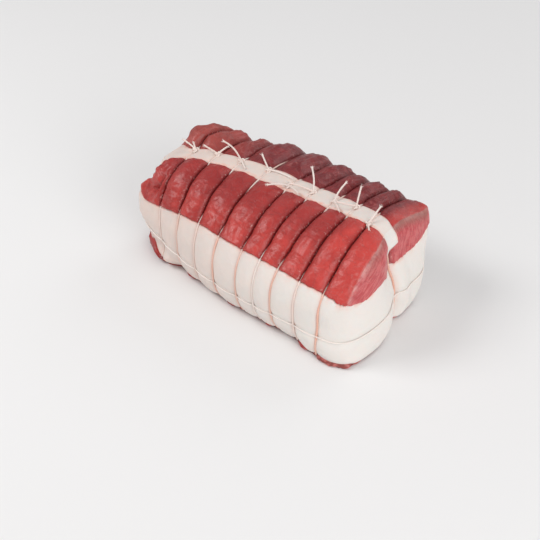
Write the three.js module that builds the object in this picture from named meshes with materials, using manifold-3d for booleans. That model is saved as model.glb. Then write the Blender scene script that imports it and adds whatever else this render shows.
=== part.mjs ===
// A tied roast of beef: two long lobes of meat, wrapped in barding fat and bound with twine.
// Millimetres, +Z up. X runs along the roast, towards its cut end, and -Y is its front.
// The origin is on the table, under the middle.

import * as THREE from 'three';
import { mergeVertices } from 'three/addons/utils/BufferGeometryUtils.js';
import Module from 'manifold-3d';

const wasm = await Module();
wasm.setup();

// Loaf: the smooth body that the meat and the fat swell out to
const NEAR_LENGTH = 101;
const FAR_LENGTH = 106;
const MIDDLE_HEIGHT = 36;
const TOP_RISE = 45;
const UNDER_DROP = 47.5;
const FRONT_HALF_WIDTH = 63;
const BACK_HALF_WIDTH = 61;
const FRONT_SHOULDER = 2.15;
const BACK_SHOULDER = 3.9;
const UNDER_SHOULDER = 2.8;
const NEAR_END_SQUARENESS = 7.5;
const FAR_END_SQUARENESS = 4.5;
const FRONT_BOW = 0.16;
const BOW_SPAN = 85;
const BACK_TAPER = 0.32;
const BACK_LOBE_SETBACK = 8;
const BACK_CORNER_FLARE = 7;
const NEAR_FOOT = 8;
const NEAR_BACK_FOOT = 5;
const NEAR_FOOT_SPREAD = 13;
const FAR_FRONT_LEAN = 21;
const FAR_FRONT_TUCK = 10;
const FAR_FRONT_DROP = 10;
const FAR_BACK_SETBACK = 19;
const FAR_BACK_TOP_SETBACK = 3;
const FAR_BACK_RISE = 13;
const NEAR_BACK_DROP = 5;
const LUMP_REACH = 7;

// Spans along X, Y and Z over which those shapes grow from nothing to full
const BOW_LIMIT = 1.2;
const FOOT_X = [45, 88];
const FOOT_Z = [30, 0];
const LUMP_X = [-60, -72];
const LUMP_Z = [16, 5];
const TUCK_X = [-78, -98];
const TUCK_Z = [54, 72];
const FRONT_FLANK_Y = [-15, -40];
const TAPER_X = [-10, -75];
const TAPER_EASED = 0.3;
const TAPER_EASED_X = [-85, -FAR_LENGTH];
const FLARE_X = [40, 90];
const FLARE_Z = [MIDDLE_HEIGHT, 75];
const BACK_FLANK_Y = [0, BACK_HALF_WIDTH];
const BACK_RISE_X = [-50, -88];
const BACK_RISE_Y = [2, 25];
const BACK_DROP_X = [40, 90];
const BACK_DROP_Y = [0, 50];
const FRONT_DROP_X = [-70, -98];
const FRONT_DROP_Y = [-6, -34];
const END_FOOT_X = [70, 92];
const END_FOOT_Z = [40, 0];
const LOBE_CHANGE_Y = [-5, 15];
const SETBACK_Y = [0, 20];
const FOOT_CORNER_Y = [58, 25];
const LEAN_X = [-73, -104];
const LEAN_Y = [-6, -36];
const LEAN_Z = [50, 80];
const UPRIGHT_X = [-60, -FAR_LENGTH];
const UPRIGHT_Y = [0, 28];
const UPRIGHT_Z = [62, 77];
const SLIDE_HOLD_LENGTH = 20;

// Middle of the loaf's box, which is moved to the origin at the end
const BOX_MIDDLE_X = 1.21;
const BOX_MIDDLE_Y = 0.88;

// Twine loops: where each one crosses the top, and how far it has slid along at the front and back
const LOOP_X = [-75, -58, -39, -17, 5, 23, 41, 56, 73];
const LOOP_FRONT_SLIDE = [3, 7, 8, 6, 6, 3.5, 0, 4, 6];
const LOOP_BACK_SLIDE = [1, 0.5, -8, -2, 1, 5, -1, 3, -2];
const TWINE_DIAMETER = 1.4;
const TWINE_SIDES = 5;
const OUTWARD_PROBE = 5;
const GAP = 0.3;
const TWINE_LIFT = 0.6;
const UNDER_BAND_LIFT = 0.4;
const FLOOR_HALF_WIDTH = [2.9, 1.9, 1.4, 1.1, 1.1, 1.1, 1.1, 1.1, 1.1];
const LOOP_DEPTH = 3.4;
const MEAT_EXTRA_DEPTH = 1.8;
const UNDER_DEPTH = 2;

// Cleft between the lobes: its line along the top, and its depth in the ends
const CLEFT_X = [-95, -80, -66, -39, -4, 26, 51, 71, 84, 95];
const CLEFT_Y = [-22, -15, -7.5, -0.5, 5, 8, 11, 13, 12, 10];
const CLEFT_DEPTH_Z = [0, 26, 36, 62, 80];
const CLEFT_NEAR_DEPTH = [15, 8.5, 8.5, 12, 5.4];
const CLEFT_FAR_DEPTH = [5, 6, 6, 6, 0];
const CLEFT_WIDTH = 16;
const CLEFT_BACK_WIDTH = [14, 9];
const CLEFT_BACK_Z = [60, 30];
const CLEFT_CUT_X = [66, 98];
const CLEFT_FOOT = 12;
const CLEFT_FOOT_X = [60, 92];
const CLEFT_FOOT_Z = [55, 10];
const CLEFT_TUCK_Z = [-14, 12];

// Barding band: fat round the sides and ends, with its edge heights along the front and over the end
const BAND_THICKNESS = 2.6;
const BAND_GAP = 1;
const BAND_SWELL = 2.4;
const BAND_X = [-95, -79, -63, -45, -26, 0, 28, 53, 77, 87, 93];
const BAND_TOP_FRONT = [46, 51, 55.5, 59, 60.5, 60, 59.7, 58, 56, 53.5, 50];
const BAND_NEAR_Y = [-50, -41, -28, -19, -8, 0, 8, 16, 33, 45, 55];
const BAND_TOP_NEAR = [49, 49.8, 48, 52, 53.5, 48, 50, 48.5, 50, 53, 60];
const BAND_FAR_Y = [-50, -41, -33, -22, 0, 45];
const BAND_TOP_FAR = [47.5, 51, 57, 57.5, 53, 52];
const BAND_BACK_X = [55, 92];
const BAND_TOP_BACK = [52, 60];
const BAND_BOTTOM = 4;
const BAND_BOTTOM_X = [-98, -88, -79, -49];
const BAND_BOTTOM_FRONT = [8, 13, 12, BAND_BOTTOM];
const BAND_BOTTOM_FAR_Y = [-42, -25];
const BAND_BOTTOM_FAR = [9, BAND_BOTTOM];
const BAND_TWINE_HEIGHT = 21;
const NOTCH_DEPTH = 2;
const NOTCH_HALF_WIDTH = 3;
const LIP = 2.5;
const PROBE = 0.2;
const WELD = 0.001;

// Barding strip: fat along the cleft, over both ends
const STRIP_HALF_WIDTH = 0.115;
const STRIP_LIP = STRIP_HALF_WIDTH + 0.036;
const STRIP_THICKNESS = 2;
const STRIP_SWELL = 1.8;
const STRIP_END_HEIGHT = 64.5;
const STRIP_CUT_SLANT = 1.5;
const STRIP_FLARE_FRONT = 9;
const STRIP_FLARE_BACK = 13;
const STRIP_FLARE_X = [-78, -97];
const STRIP_FLARE_Y = [7, 55];
const STRIP_FLARE_Z = [40, 70];
const LENGTHWISE_GROOVE = 2.4;
const GROOVE_SLACK = 2;

// Knots: each loop's two loose ends, as steps from the knot to the two tips
const KNOT_RADIUS = 1.8;
const TAIL_SAG = 2.5;
const KNOT_OFFSET = [6, 4, 3, 4, -4, 0, -1, 3, -7];
const TAILS = [
  [[-10, -2, 5], [-3, 1, 4]],
  [[-9, -4, 5], [3, 8, 4]],
  [[-18, 1, 8], [9, -6, 1]],
  [[-8, 2, 8], [20, 1, 2]],
  [[-9, -12, 3], [12, -4, 2]],
  [[-12, 13, 8], [-14, -8, 5]],
  [[-1, 14, 8], [11, -8, 2]],
  [[-5, 11, 8], [-9, -11, 6]],
  [[1, 11, 8], [5, -6, 0]],
];

const clamp = (value, low, high) => Math.min(Math.max(value, low), high);

const mix = (from, to, share) => from + (to - from) * share;

// Reads a curve that is given by a few knots, straight between them and level past the ends.
function readCurve(knots, values, at) {
  const last = knots.length - 1;
  if (at <= knots[0]) return values[0];
  if (at >= knots[last]) return values[last];
  let index = 0;
  while (at > knots[index + 1]) index += 1;
  const share = (at - knots[index]) / (knots[index + 1] - knots[index]);
  return mix(values[index], values[index + 1], share);
}

// The length of (first, second) as measured round a superellipse.
const roundLength = (first, second, power) =>
  (Math.abs(first) ** power + Math.abs(second) ** power) ** (1 / power);

// Rounds the cube point (a, b, c) to the loaf, and gives the direction that faces outwards there.
function roundedPoint(a, b, c) {
  const length = a < 0 ? FAR_LENGTH : NEAR_LENGTH;
  const width = b < 0 ? FRONT_HALF_WIDTH : BACK_HALF_WIDTH;
  const height = c < 0 ? UNDER_DROP : TOP_RISE;
  const topShoulder = mix(FRONT_SHOULDER, BACK_SHOULDER, (clamp(b, -1, 1) + 1) / 2);
  const shoulder = c < 0 ? UNDER_SHOULDER : topShoulder;
  const endPower = a < 0 ? FAR_END_SQUARENESS : NEAR_END_SQUARENESS;
  const reach = Math.max(Math.abs(b), Math.abs(c));
  const squeeze = reach > 0 ? reach / roundLength(b, c, shoulder) : 1;
  const ring = roundLength(a, reach, endPower);
  const shares = new THREE.Vector3(a, b * squeeze, c * squeeze).divideScalar(ring);

  const section = roundLength(shares.y, shares.z, shoulder);
  const sectionPull = section > 0 ? section ** (endPower - shoulder) : 0;
  const slope = (share, power) => Math.sign(share) * Math.abs(share) ** (power - 1);
  const outward = new THREE.Vector3(
    slope(shares.x, endPower) / length,
    (slope(shares.y, shoulder) * sectionPull) / width,
    (slope(shares.z, shoulder) * sectionPull) / height,
  ).normalize();

  const point = new THREE.Vector3(length * shares.x, width * shares.y, MIDDLE_HEIGHT + height * shares.z);
  if (point.z <= 0) {
    point.z = 0;
    outward.set(0, 0, -1);
  }
  return { point, outward };
}

// A point of the finished loaf, sunk by depth square to its surface.
function loafPoint(a, b, c, depth = 0) {
  const { point, outward } = roundedPoint(a, b, c);
  const settled = settle(point);
  if (depth === 0) return settled;
  const helper = Math.abs(outward.z) < 0.8 ? new THREE.Vector3(0, 0, 1) : new THREE.Vector3(1, 0, 0);
  const first = helper.cross(outward).normalize();
  const second = outward.clone().cross(first);
  const firstStep = settle(point.clone().addScaledVector(first, PROBE)).sub(settled);
  const secondStep = settle(point.clone().addScaledVector(second, PROBE)).sub(settled);
  const normal = firstStep.cross(secondStep).normalize();
  settled.addScaledVector(normal, -depth);
  settled.z = Math.max(settled.z, 0);
  return settled;
}

// Share of the way from one value to another, from 0 to 1, with a soft start and stop.
function ease(from, to, at) {
  const share = clamp((at - from) / (to - from), 0, 1);
  return share * share * (3 - 2 * share);
}

// Bows the sides, shapes the ends, lays the cleft on its line and slides the loops along.
function settle(point) {
  const { x, y, z } = point;
  const width = y < 0 ? FRONT_HALF_WIDTH : BACK_HALF_WIDTH;
  const across = clamp(y / width, -1, 1);
  const sideways = y < 0 ? frontY(x, y, z) : backY(x, y, z);
  const lineY = readCurve(CLEFT_X, CLEFT_Y, x) * clamp(z / MIDDLE_HEIGHT, 0, 1);
  const footY = CLEFT_FOOT * ease(...CLEFT_FOOT_X, x) * ease(...CLEFT_FOOT_Z, z) * ease(...CLEFT_TUCK_Z, z);
  const cleft = (lineY + footY) * (1 - across ** 2) + stripFlare(x, y, z);
  const rise = FAR_BACK_RISE * ease(...BACK_RISE_X, x) * ease(...BACK_RISE_Y, y);
  const nearDrop = NEAR_BACK_DROP * ease(...BACK_DROP_X, x) * ease(...BACK_DROP_Y, y);
  const farDrop = FAR_FRONT_DROP * ease(...FRONT_DROP_X, x) * ease(...FRONT_DROP_Y, y);
  const height = z + ((rise - nearDrop - farDrop) * z) / (MIDDLE_HEIGHT + TOP_RISE);
  const lengthways = x + loopSlide(x, across) + endShift(x, y, z) - Math.sign(x) * cleftCut(x, y, z);
  return new THREE.Vector3(lengthways, sideways + cleft, height);
}

// The strip widens at the far end.
function stripFlare(x, y, z) {
  const [edge, far] = STRIP_FLARE_Y;
  const reach = y < 0 ? STRIP_FLARE_FRONT : STRIP_FLARE_BACK;
  return reach * ease(...STRIP_FLARE_X, x) * ease(...STRIP_FLARE_Z, z)
    * clamp(y / edge, -1, 1) * ease(far, edge, Math.abs(y));
}

// How far the cleft cuts into an end.
function cleftCut(x, y, z) {
  const narrow = x > 0 && y > 0;
  const width = narrow ? mix(...CLEFT_BACK_WIDTH, ease(...CLEFT_BACK_Z, z)) : CLEFT_WIDTH;
  const depth = readCurve(CLEFT_DEPTH_Z, x < 0 ? CLEFT_FAR_DEPTH : CLEFT_NEAR_DEPTH, z);
  return depth * Math.exp(-((y / width) ** 2)) * ease(...CLEFT_CUT_X, Math.abs(x));
}

// The front bows out in the middle, with a spread foot near the cut end. Far off it has a lump low down
// and is tucked in above.
function frontY(x, y, z) {
  const bow = FRONT_BOW * Math.min(Math.abs(x) / BOW_SPAN, BOW_LIMIT) ** 2;
  const outward = ease(...FRONT_FLANK_Y, y);
  const foot = NEAR_FOOT_SPREAD * ease(...FOOT_X, x) * ease(...FOOT_Z, z);
  const lump = LUMP_REACH * ease(...LUMP_X, x) * ease(...LUMP_Z, z);
  const tuck = FAR_FRONT_TUCK * ease(...TUCK_X, x) * ease(...TUCK_Z, z);
  return y * (1 - bow) - (foot + lump - tuck) * outward;
}

// The back narrows towards the far end and flares at the top corner of the cut end.
function backY(x, y, z) {
  const taper = BACK_TAPER * ease(...TAPER_X, x) * (1 - TAPER_EASED * ease(...TAPER_EASED_X, x));
  const flare = BACK_CORNER_FLARE * ease(...FLARE_X, x) * ease(...FLARE_Z, z);
  return y * (1 - taper) + flare * ease(...BACK_FLANK_Y, y);
}

// How far a loop has slid along the roast, growing from the top towards the front and the back.
function loopSlide(x, across) {
  const slides = across < 0 ? LOOP_FRONT_SLIDE : LOOP_BACK_SLIDE;
  const hold = clamp((NEAR_LENGTH - Math.abs(x)) / SLIDE_HOLD_LENGTH, 0, 1);
  return readCurve(LOOP_X, slides, x) * Math.abs(across) * hold;
}

// The ends: the near one stands on a broad foot. The far one leans at its front, upright at its back.
function endShift(x, y, z) {
  if (x > 0) {
    const foot = mix(NEAR_FOOT, NEAR_BACK_FOOT, ease(...LOBE_CHANGE_Y, y));
    const setback = BACK_LOBE_SETBACK * (x / NEAR_LENGTH) ** 2 * ease(...SETBACK_Y, y);
    return foot * ease(...END_FOOT_X, x) * ease(...END_FOOT_Z, z) * ease(...FOOT_CORNER_Y, y) - setback;
  }
  const lean = FAR_FRONT_LEAN * ease(...LEAN_Z, z) * ease(...LEAN_Y, y) * ease(...LEAN_X, x);
  const upright = mix(FAR_BACK_SETBACK, FAR_BACK_TOP_SETBACK, ease(...UPRIGHT_Z, z));
  return lean + upright * ease(...UPRIGHT_Y, y) * ease(...UPRIGHT_X, x);
}

// The cube height at which the side at (a, b) stands z above the table.
function cubeHeight(a, b, z) {
  let low = -1;
  let high = 1;
  for (let step = 0; step < 24; step += 1) {
    const middle = (low + high) / 2;
    if (loafPoint(a, b, middle).z < z) low = middle;
    else high = middle;
  }
  return (low + high) / 2;
}

// Lines along the loaf: the floor of each loop's groove, and the swell between two loops
function lengthLines() {
  const lines = [];
  const addLine = (x, swell, loop = -1) => {
    const power = x < 0 ? FAR_END_SQUARENESS : NEAR_END_SQUARENESS;
    const share = Math.abs(x) / (x < 0 ? FAR_LENGTH : NEAR_LENGTH);
    const a = (Math.sign(x) * share) / (1 - share ** power) ** (1 / power);
    lines.push({ a: clamp(a, -1, 1), swell, loop });
  };
  const farEdge = FAR_LENGTH * 2 ** (-1 / FAR_END_SQUARENESS);
  const nearEdge = NEAR_LENGTH * 2 ** (-1 / NEAR_END_SQUARENESS);
  const stops = [-farEdge, ...LOOP_X, nearEdge];
  for (let index = 0; index + 1 < stops.length; index += 1) {
    const first = index === 0;
    const last = index + 2 === stops.length;
    const start = stops[index] + (first ? 0 : FLOOR_HALF_WIDTH[index - 1]);
    const end = stops[index + 1] - (last ? 0 : FLOOR_HALF_WIDTH[index]);
    if (!first) addLine(start, 0, index - 1);
    for (const share of [0.3, 0.7]) {
      const openEnd = (first && share < 0.5) || (last && share > 0.5);
      addLine(mix(start, end, share), openEnd ? 1 : swellAt(share));
    }
    if (!last) addLine(end, 0, index);
  }
  lines.unshift({ a: -1, swell: 1, loop: -1 });
  lines.push({ a: 1, swell: 1, loop: -1 });
  return lines;
}

// How far the surface swells at a share of the way from one loop to the next.
function swellAt(share) {
  return Math.sqrt(4 * share * (1 - share));
}

const ALONG = lengthLines();
const ACROSS = [-1, -0.78, -0.56, -0.34, -STRIP_LIP, -STRIP_HALF_WIDTH, 0,
  STRIP_HALF_WIDTH, STRIP_LIP, 0.34, 0.56, 0.78, 1];
const ROWS = { bottom: 0, underBand: 1, bandBottom: 2, notchBottom: 3, notch: 4, notchTop: 5,
  bandMiddle: 6, bandTop: 7, overBand: 8, upperSide: 9, top: 10 };

// The height at which the strip's slanting cut end stands on either end of the roast.
function stripEndHeight(a, b) {
  return STRIP_END_HEIGHT + (STRIP_CUT_SLANT * Math.sign(a) * b) / STRIP_HALF_WIDTH;
}

// The heights of the band's edges where the side stands at (a, b).
function bandEdges(a, b) {
  const spot = loafPoint(a, b, 0);
  let top = readCurve(BAND_BACK_X, BAND_TOP_BACK, spot.x);
  let bottom = BAND_BOTTOM;
  if (Math.abs(a) < 1 && b < 0) {
    top = readCurve(BAND_X, BAND_TOP_FRONT, spot.x);
    bottom = readCurve(BAND_BOTTOM_X, BAND_BOTTOM_FRONT, spot.x);
  }
  if (a === 1) top = readCurve(BAND_NEAR_Y, BAND_TOP_NEAR, spot.y);
  if (a === -1) {
    top = readCurve(BAND_FAR_Y, BAND_TOP_FAR, spot.y);
    bottom = readCurve(BAND_BOTTOM_FAR_Y, BAND_BOTTOM_FAR, spot.y);
  }
  return { top, bottom };
}

// The cube height of one row of the sides, at the cube's (a, b).
const rowCache = new Map();
function rowHeight(a, b, row) {
  if (row === ROWS.bottom) return -1;
  if (row === ROWS.top) return 1;
  const key = `${a} ${b} ${row}`;
  if (!rowCache.has(key)) {
    const { top, bottom } = bandEdges(a, b);
    const notch = Math.max(BAND_TWINE_HEIGHT, bottom + 2 * NOTCH_HALF_WIDTH);
    const heights = [0, bottom - LIP, bottom, notch - NOTCH_HALF_WIDTH, notch,
      notch + NOTCH_HALF_WIDTH, mix(notch + NOTCH_HALF_WIDTH, top, 0.5), top, top + LIP];
    const overBand = cubeHeight(a, b, top + LIP);
    const underDrape = Math.abs(a) === 1 && Math.abs(b) <= STRIP_LIP;
    const upperSide = underDrape ? cubeHeight(a, b, stripEndHeight(a, b)) : mix(overBand, 1, 0.5);
    rowCache.set(key, row === ROWS.upperSide ? upperSide : cubeHeight(a, b, heights[row]));
  }
  return rowCache.get(key);
}

// Depth of a loop's groove floor below the loaf, from the table up over the meat to the cleft.
function floorDepth(spot) {
  const { b, c, row } = spot;
  if (row === ROWS.bottom || c === -1) return UNDER_DEPTH;
  if (row <= ROWS.underBand) return mix(UNDER_DEPTH, LOOP_DEPTH, 0.5);
  if (row <= ROWS.overBand) return LOOP_DEPTH;
  const overMeat = row === ROWS.upperSide ? 0.3 : 0.5 + 0.5 * (1 - Math.abs(b));
  return LOOP_DEPTH + MEAT_EXTRA_DEPTH * Math.sin(Math.PI * overMeat);
}

const underStrip = (spot) => Math.abs(spot.b) <= STRIP_HALF_WIDTH && spot.row >= ROWS.upperSide;

const onBand = (spot) => spot.row >= ROWS.bandBottom && spot.row <= ROWS.bandTop;

const notchAt = (spot) => (spot.row === ROWS.notch ? NOTCH_DEPTH : 0);

// Depth of the fat band's outer face.
function bandDepth(spot) {
  return floorDepth(spot) - BAND_SWELL * spot.swell + notchAt(spot);
}

// Depth of the fat strip's outer face.
const stripDepth = (spot) => LOOP_DEPTH - STRIP_SWELL * spot.swell;

// Depth of the floor on which the lengthwise twine lies, level under the strip and under the loaf.
function centreDepth(spot) {
  if (underStrip(spot)) return LOOP_DEPTH + STRIP_THICKNESS + GAP + LENGTHWISE_GROOVE;
  if (spot.c === -1) return UNDER_DEPTH + LENGTHWISE_GROOVE;
  return onBand(spot) ? bandDepth(spot) : floorDepth(spot) * (1 - spot.swell);
}

// Depth of the meat: under the fat where there is fat, and swelling out between the loops elsewhere.
function meatDepth(spot) {
  if (onBand(spot)) return bandDepth(spot) + BAND_THICKNESS + BAND_GAP;
  if (spot.b === 0) return centreDepth(spot) + GROOVE_SLACK;
  if (underStrip(spot)) return stripDepth(spot) + STRIP_THICKNESS + GAP;
  const swell = spot.c === -1 ? Math.ceil(spot.swell) : spot.swell;
  return floorDepth(spot) * (1 - swell);
}

// A place on the cube's grid, by the numbers of its lines.
function gridSpot(i, j, row) {
  const { a, swell } = ALONG[i];
  return spotAt(a, ACROSS[j], row, swell);
}

function spotAt(a, b, row, swell) {
  const side = Math.abs(a) === 1 || Math.abs(b) === 1;
  const c = side ? rowHeight(a, b, row) : Math.sign(row - 1);
  return { a, b, c, row, swell };
}

const placeAt = (spot, depth) => loafPoint(spot.a, spot.b, spot.c, depth);

// A closed mesh from a list of points and a list of four-cornered faces.
function meshFromQuads(points, quads) {
  const geometry = new THREE.BufferGeometry();
  const corners = quads.flatMap(([p, q, r, s]) => [p, q, r, p, r, s]);
  const places = points.flatMap((point) => point.toArray());
  geometry.setAttribute('position', new THREE.Float32BufferAttribute(places, 3));
  geometry.setIndex(corners);
  return geometry;
}

// The grid's lines once round the sides and ends, anticlockwise from above
function sideCircuit() {
  const circuit = [];
  const nx = ALONG.length - 1;
  const ny = ACROSS.length - 1;
  for (let i = 0; i < nx; i += 1) circuit.push([i, 0]);
  for (let j = 0; j < ny; j += 1) circuit.push([nx, j]);
  for (let i = nx; i > 0; i -= 1) circuit.push([i, ny]);
  for (let j = ny; j > 0; j -= 1) circuit.push([0, j]);
  return circuit;
}

// The meat: walls round the circuit, closed by a grid above and one below
function meatGeometry() {
  const points = [];
  const numbers = new Map();
  const corner = ([i, j], row) => {
    const key = `${i} ${j} ${row}`;
    if (!numbers.has(key)) {
      const spot = gridSpot(i, j, row);
      numbers.set(key, points.push(placeAt(spot, meatDepth(spot))) - 1);
    }
    return numbers.get(key);
  };
  const quads = [];
  const addQuad = (quad, first, second) => {
    const { loop } = ALONG[first];
    quads.push(loop >= 0 && loop === ALONG[second].loop ? deeperSplit(quad, points) : quad);
  };
  const circuit = sideCircuit();
  circuit.forEach((here, index) => {
    const next = circuit[(index + 1) % circuit.length];
    for (let row = 0; row < ROWS.top; row += 1) {
      const quad = [corner(here, row), corner(next, row), corner(next, row + 1), corner(here, row + 1)];
      addQuad(quad, here[0], next[0]);
    }
  });
  for (let i = 0; i + 1 < ALONG.length; i += 1) {
    for (let j = 0; j + 1 < ACROSS.length; j += 1) {
      const square = [[i, j], [i + 1, j], [i + 1, j + 1], [i, j + 1]];
      addQuad(square.map((place) => corner(place, ROWS.top)), i, i + 1);
      addQuad(square.reverse().map((place) => corner(place, ROWS.bottom)), i, i + 1);
    }
  }
  return meshFromQuads(points, quads);
}

// Turns a face of a groove's floor so that it folds on its deeper diagonal, and clears the twine.
function deeperSplit(quad, points) {
  const [p, q, r, s] = quad;
  const reach = (first, second) => {
    const middle = points[first].clone().lerp(points[second], 0.5);
    return Math.hypot(middle.y, middle.z - MIDDLE_HEIGHT);
  };
  return reach(p, r) > reach(q, s) ? [q, r, s, p] : quad;
}

// The fat band: an outer and an inner wall round the circuit, joined at both edges
function bandGeometry() {
  const circuit = sideCircuit();
  const rows = [];
  for (let row = ROWS.bandBottom; row <= ROWS.bandTop; row += 1) rows.push([row, 0]);
  for (let row = ROWS.bandTop; row >= ROWS.bandBottom; row -= 1) rows.push([row, BAND_THICKNESS]);
  const points = [];
  for (const [i, j] of circuit) {
    for (const [row, sunk] of rows) {
      const spot = gridSpot(i, j, row);
      points.push(placeAt(spot, bandDepth(spot) + sunk));
    }
  }
  return meshFromQuads(points, wrapQuads(circuit.length, rows.length));
}

// Faces of a grid that closes on itself both ways. An inner wall folds as the meat under it does.
function wrapQuads(stations, ringSize, isTurned = (station, side) => side >= ringSize / 2) {
  const quads = [];
  for (let station = 0; station < stations; station += 1) {
    for (let side = 0; side < ringSize; side += 1) {
      const here = station * ringSize;
      const next = ((station + 1) % stations) * ringSize;
      const up = (side + 1) % ringSize;
      const quad = [here + side, next + side, next + up, here + up];
      if (isTurned(station, side)) quad.push(quad.shift());
      quads.push(quad);
    }
  }
  return quads;
}

// The fat strip: over the top along the cleft and a little way down both ends
function stripGeometry() {
  const lines = ALONG.map(({ a, swell }) => ({ a, swell, row: ROWS.top }));
  const ends = [-1, 1].map((a) => ({ a, swell: 1, row: ROWS.upperSide }));
  const stations = [ends[0], ...lines, ends[1]];
  const ring = [[-STRIP_HALF_WIDTH, 0], [0, 0], [STRIP_HALF_WIDTH, 0],
    [STRIP_HALF_WIDTH, STRIP_THICKNESS], [0, STRIP_THICKNESS], [-STRIP_HALF_WIDTH, STRIP_THICKNESS]];
  const points = stations.flatMap(({ a, row, swell }) => ring.map(([b, sunk]) => {
    const spot = spotAt(a, b, row, swell);
    return placeAt(spot, stripDepth(spot) + sunk);
  }));
  const size = ring.length;
  const spans = stations.length - 1;
  const isTurned = (station, side) => side >= size / 2 && station > 0 && station < spans - 1;
  const quads = wrapQuads(stations.length, size, isTurned).slice(0, spans * size);
  const lastRing = spans * size;
  quads.push([1, 4, 5, 0], [2, 3, 4, 1]);
  quads.push([lastRing, lastRing + 5, lastRing + 4, lastRing + 1]);
  quads.push([lastRing + 1, lastRing + 4, lastRing + 3, lastRing + 2]);
  return meshFromQuads(points, quads);
}

// A closed tube of twine through a ring of points, each with the outward direction there
function closedTube(path) {
  const points = [];
  for (let index = 0; index < path.length; index += 1) {
    const { point, out } = path[index];
    const before = path[(index + path.length - 1) % path.length].point;
    const after = path[(index + 1) % path.length].point;
    const along = after.clone().sub(before).normalize();
    const across = along.clone().cross(out).normalize();
    const outward = across.clone().cross(along);
    for (let side = 0; side < TWINE_SIDES; side += 1) {
      const angle = (2 * Math.PI * side) / TWINE_SIDES;
      points.push(point.clone()
        .addScaledVector(outward, Math.cos(angle) * TWINE_DIAMETER / 2)
        .addScaledVector(across, Math.sin(angle) * TWINE_DIAMETER / 2));
    }
  }
  const quads = wrapQuads(path.length, TWINE_SIDES).map((quad) => quad.reverse());
  return meshFromQuads(points, quads);
}

// A point of twine that lies on a face at the given depth
function twinePoint(spot, depth) {
  const point = placeAt(spot, depth - TWINE_LIFT - TWINE_DIAMETER / 2);
  const out = placeAt(spot, depth - OUTWARD_PROBE).sub(point).normalize();
  return { point, out };
}

// The ring of grid places that a loop crosses: front, top, back and under
function loopPath(loop) {
  const line = ALONG.find((entry) => entry.loop === loop);
  const next = ALONG[ALONG.indexOf(line) + 1];
  const a = (line.a + next.a) / 2;
  const path = [];
  const addSpot = (b, row) => {
    const spot = spotAt(a, b, row, 0);
    const onStrip = row === ROWS.top && Math.abs(b) <= STRIP_HALF_WIDTH;
    const lift = row === ROWS.underBand ? UNDER_BAND_LIFT : 0;
    path.push(twinePoint(spot, onStrip ? stripDepth(spot) : floorDepth(spot) - lift));
  };
  const sideRows = [ROWS.bottom, ROWS.underBand, ROWS.bandBottom, ROWS.notchBottom, ROWS.notchTop,
    ROWS.bandMiddle, ROWS.bandTop, ROWS.upperSide];
  const skipped = [STRIP_LIP, 0];
  for (const row of sideRows) addSpot(-1, row);
  for (const b of ACROSS) if (!skipped.includes(Math.abs(b))) addSpot(b, ROWS.top);
  for (const row of [...sideRows].reverse()) addSpot(1, row);
  for (const b of [0.78, 0.56, 0.34, STRIP_LIP, -STRIP_LIP, -0.34, -0.56, -0.78]) addSpot(b, ROWS.bottom);
  return path;
}

// A loose end: a short bent rod from the knot to its tip
function tailGeometry(knot, step) {
  const tip = knot.clone().add(new THREE.Vector3(...step));
  const bend = knot.clone().lerp(tip, 0.5);
  bend.z += TAIL_SAG * 0.5;
  const outline = new THREE.Shape();
  outline.absarc(0, 0, TWINE_DIAMETER / 2, 0, 2 * Math.PI);
  const extrudePath = new THREE.CatmullRomCurve3([knot, bend, tip]);
  return new THREE.ExtrudeGeometry(outline, { steps: 2, curveSegments: TWINE_SIDES, extrudePath });
}

function toSolid(geometry) {
  const bare = geometry.index ? geometry.clone() : geometry;
  bare.deleteAttribute('normal');
  bare.deleteAttribute('uv');
  const merged = mergeVertices(bare, WELD);
  const vertProperties = new Float32Array(merged.getAttribute('position').array);
  const triVerts = new Uint32Array(merged.index.array);
  return new wasm.Manifold(new wasm.Mesh({ numProp: 3, vertProperties, triVerts }));
}

function toGeometry(solid) {
  const { vertProperties, triVerts } = solid.getMesh();
  const geometry = new THREE.BufferGeometry();
  geometry.setAttribute('position', new THREE.BufferAttribute(vertProperties, 3));
  geometry.setIndex(new THREE.BufferAttribute(triVerts, 1));
  return geometry;
}

// One girth loop with its knot on the strip and its two loose ends
function loopGeometry(loop) {
  const path = loopPath(loop);
  const line = ALONG.find((entry) => entry.loop === loop);
  const next = ALONG[ALONG.indexOf(line) + 1];
  const knotSpot = spotAt((line.a + next.a) / 2, KNOT_OFFSET[loop] / BACK_HALF_WIDTH, ROWS.top, 0);
  const knot = placeAt(knotSpot, stripDepth(knotSpot) - GAP - KNOT_RADIUS);
  let solid = toSolid(closedTube(path));
  const ball = new THREE.IcosahedronGeometry(KNOT_RADIUS, 0).translate(knot.x, knot.y, knot.z);
  solid = solid.add(toSolid(ball));
  for (const step of TAILS[loop]) solid = solid.add(toSolid(tailGeometry(knot, step)));
  return toGeometry(solid);
}

// The twine round the band, in its notch
function bandTwineGeometry() {
  const path = sideCircuit().map(([i, j]) => {
    const spot = gridSpot(i, j, ROWS.notch);
    return twinePoint(spot, bandDepth(spot));
  });
  return closedTube(path);
}

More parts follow.
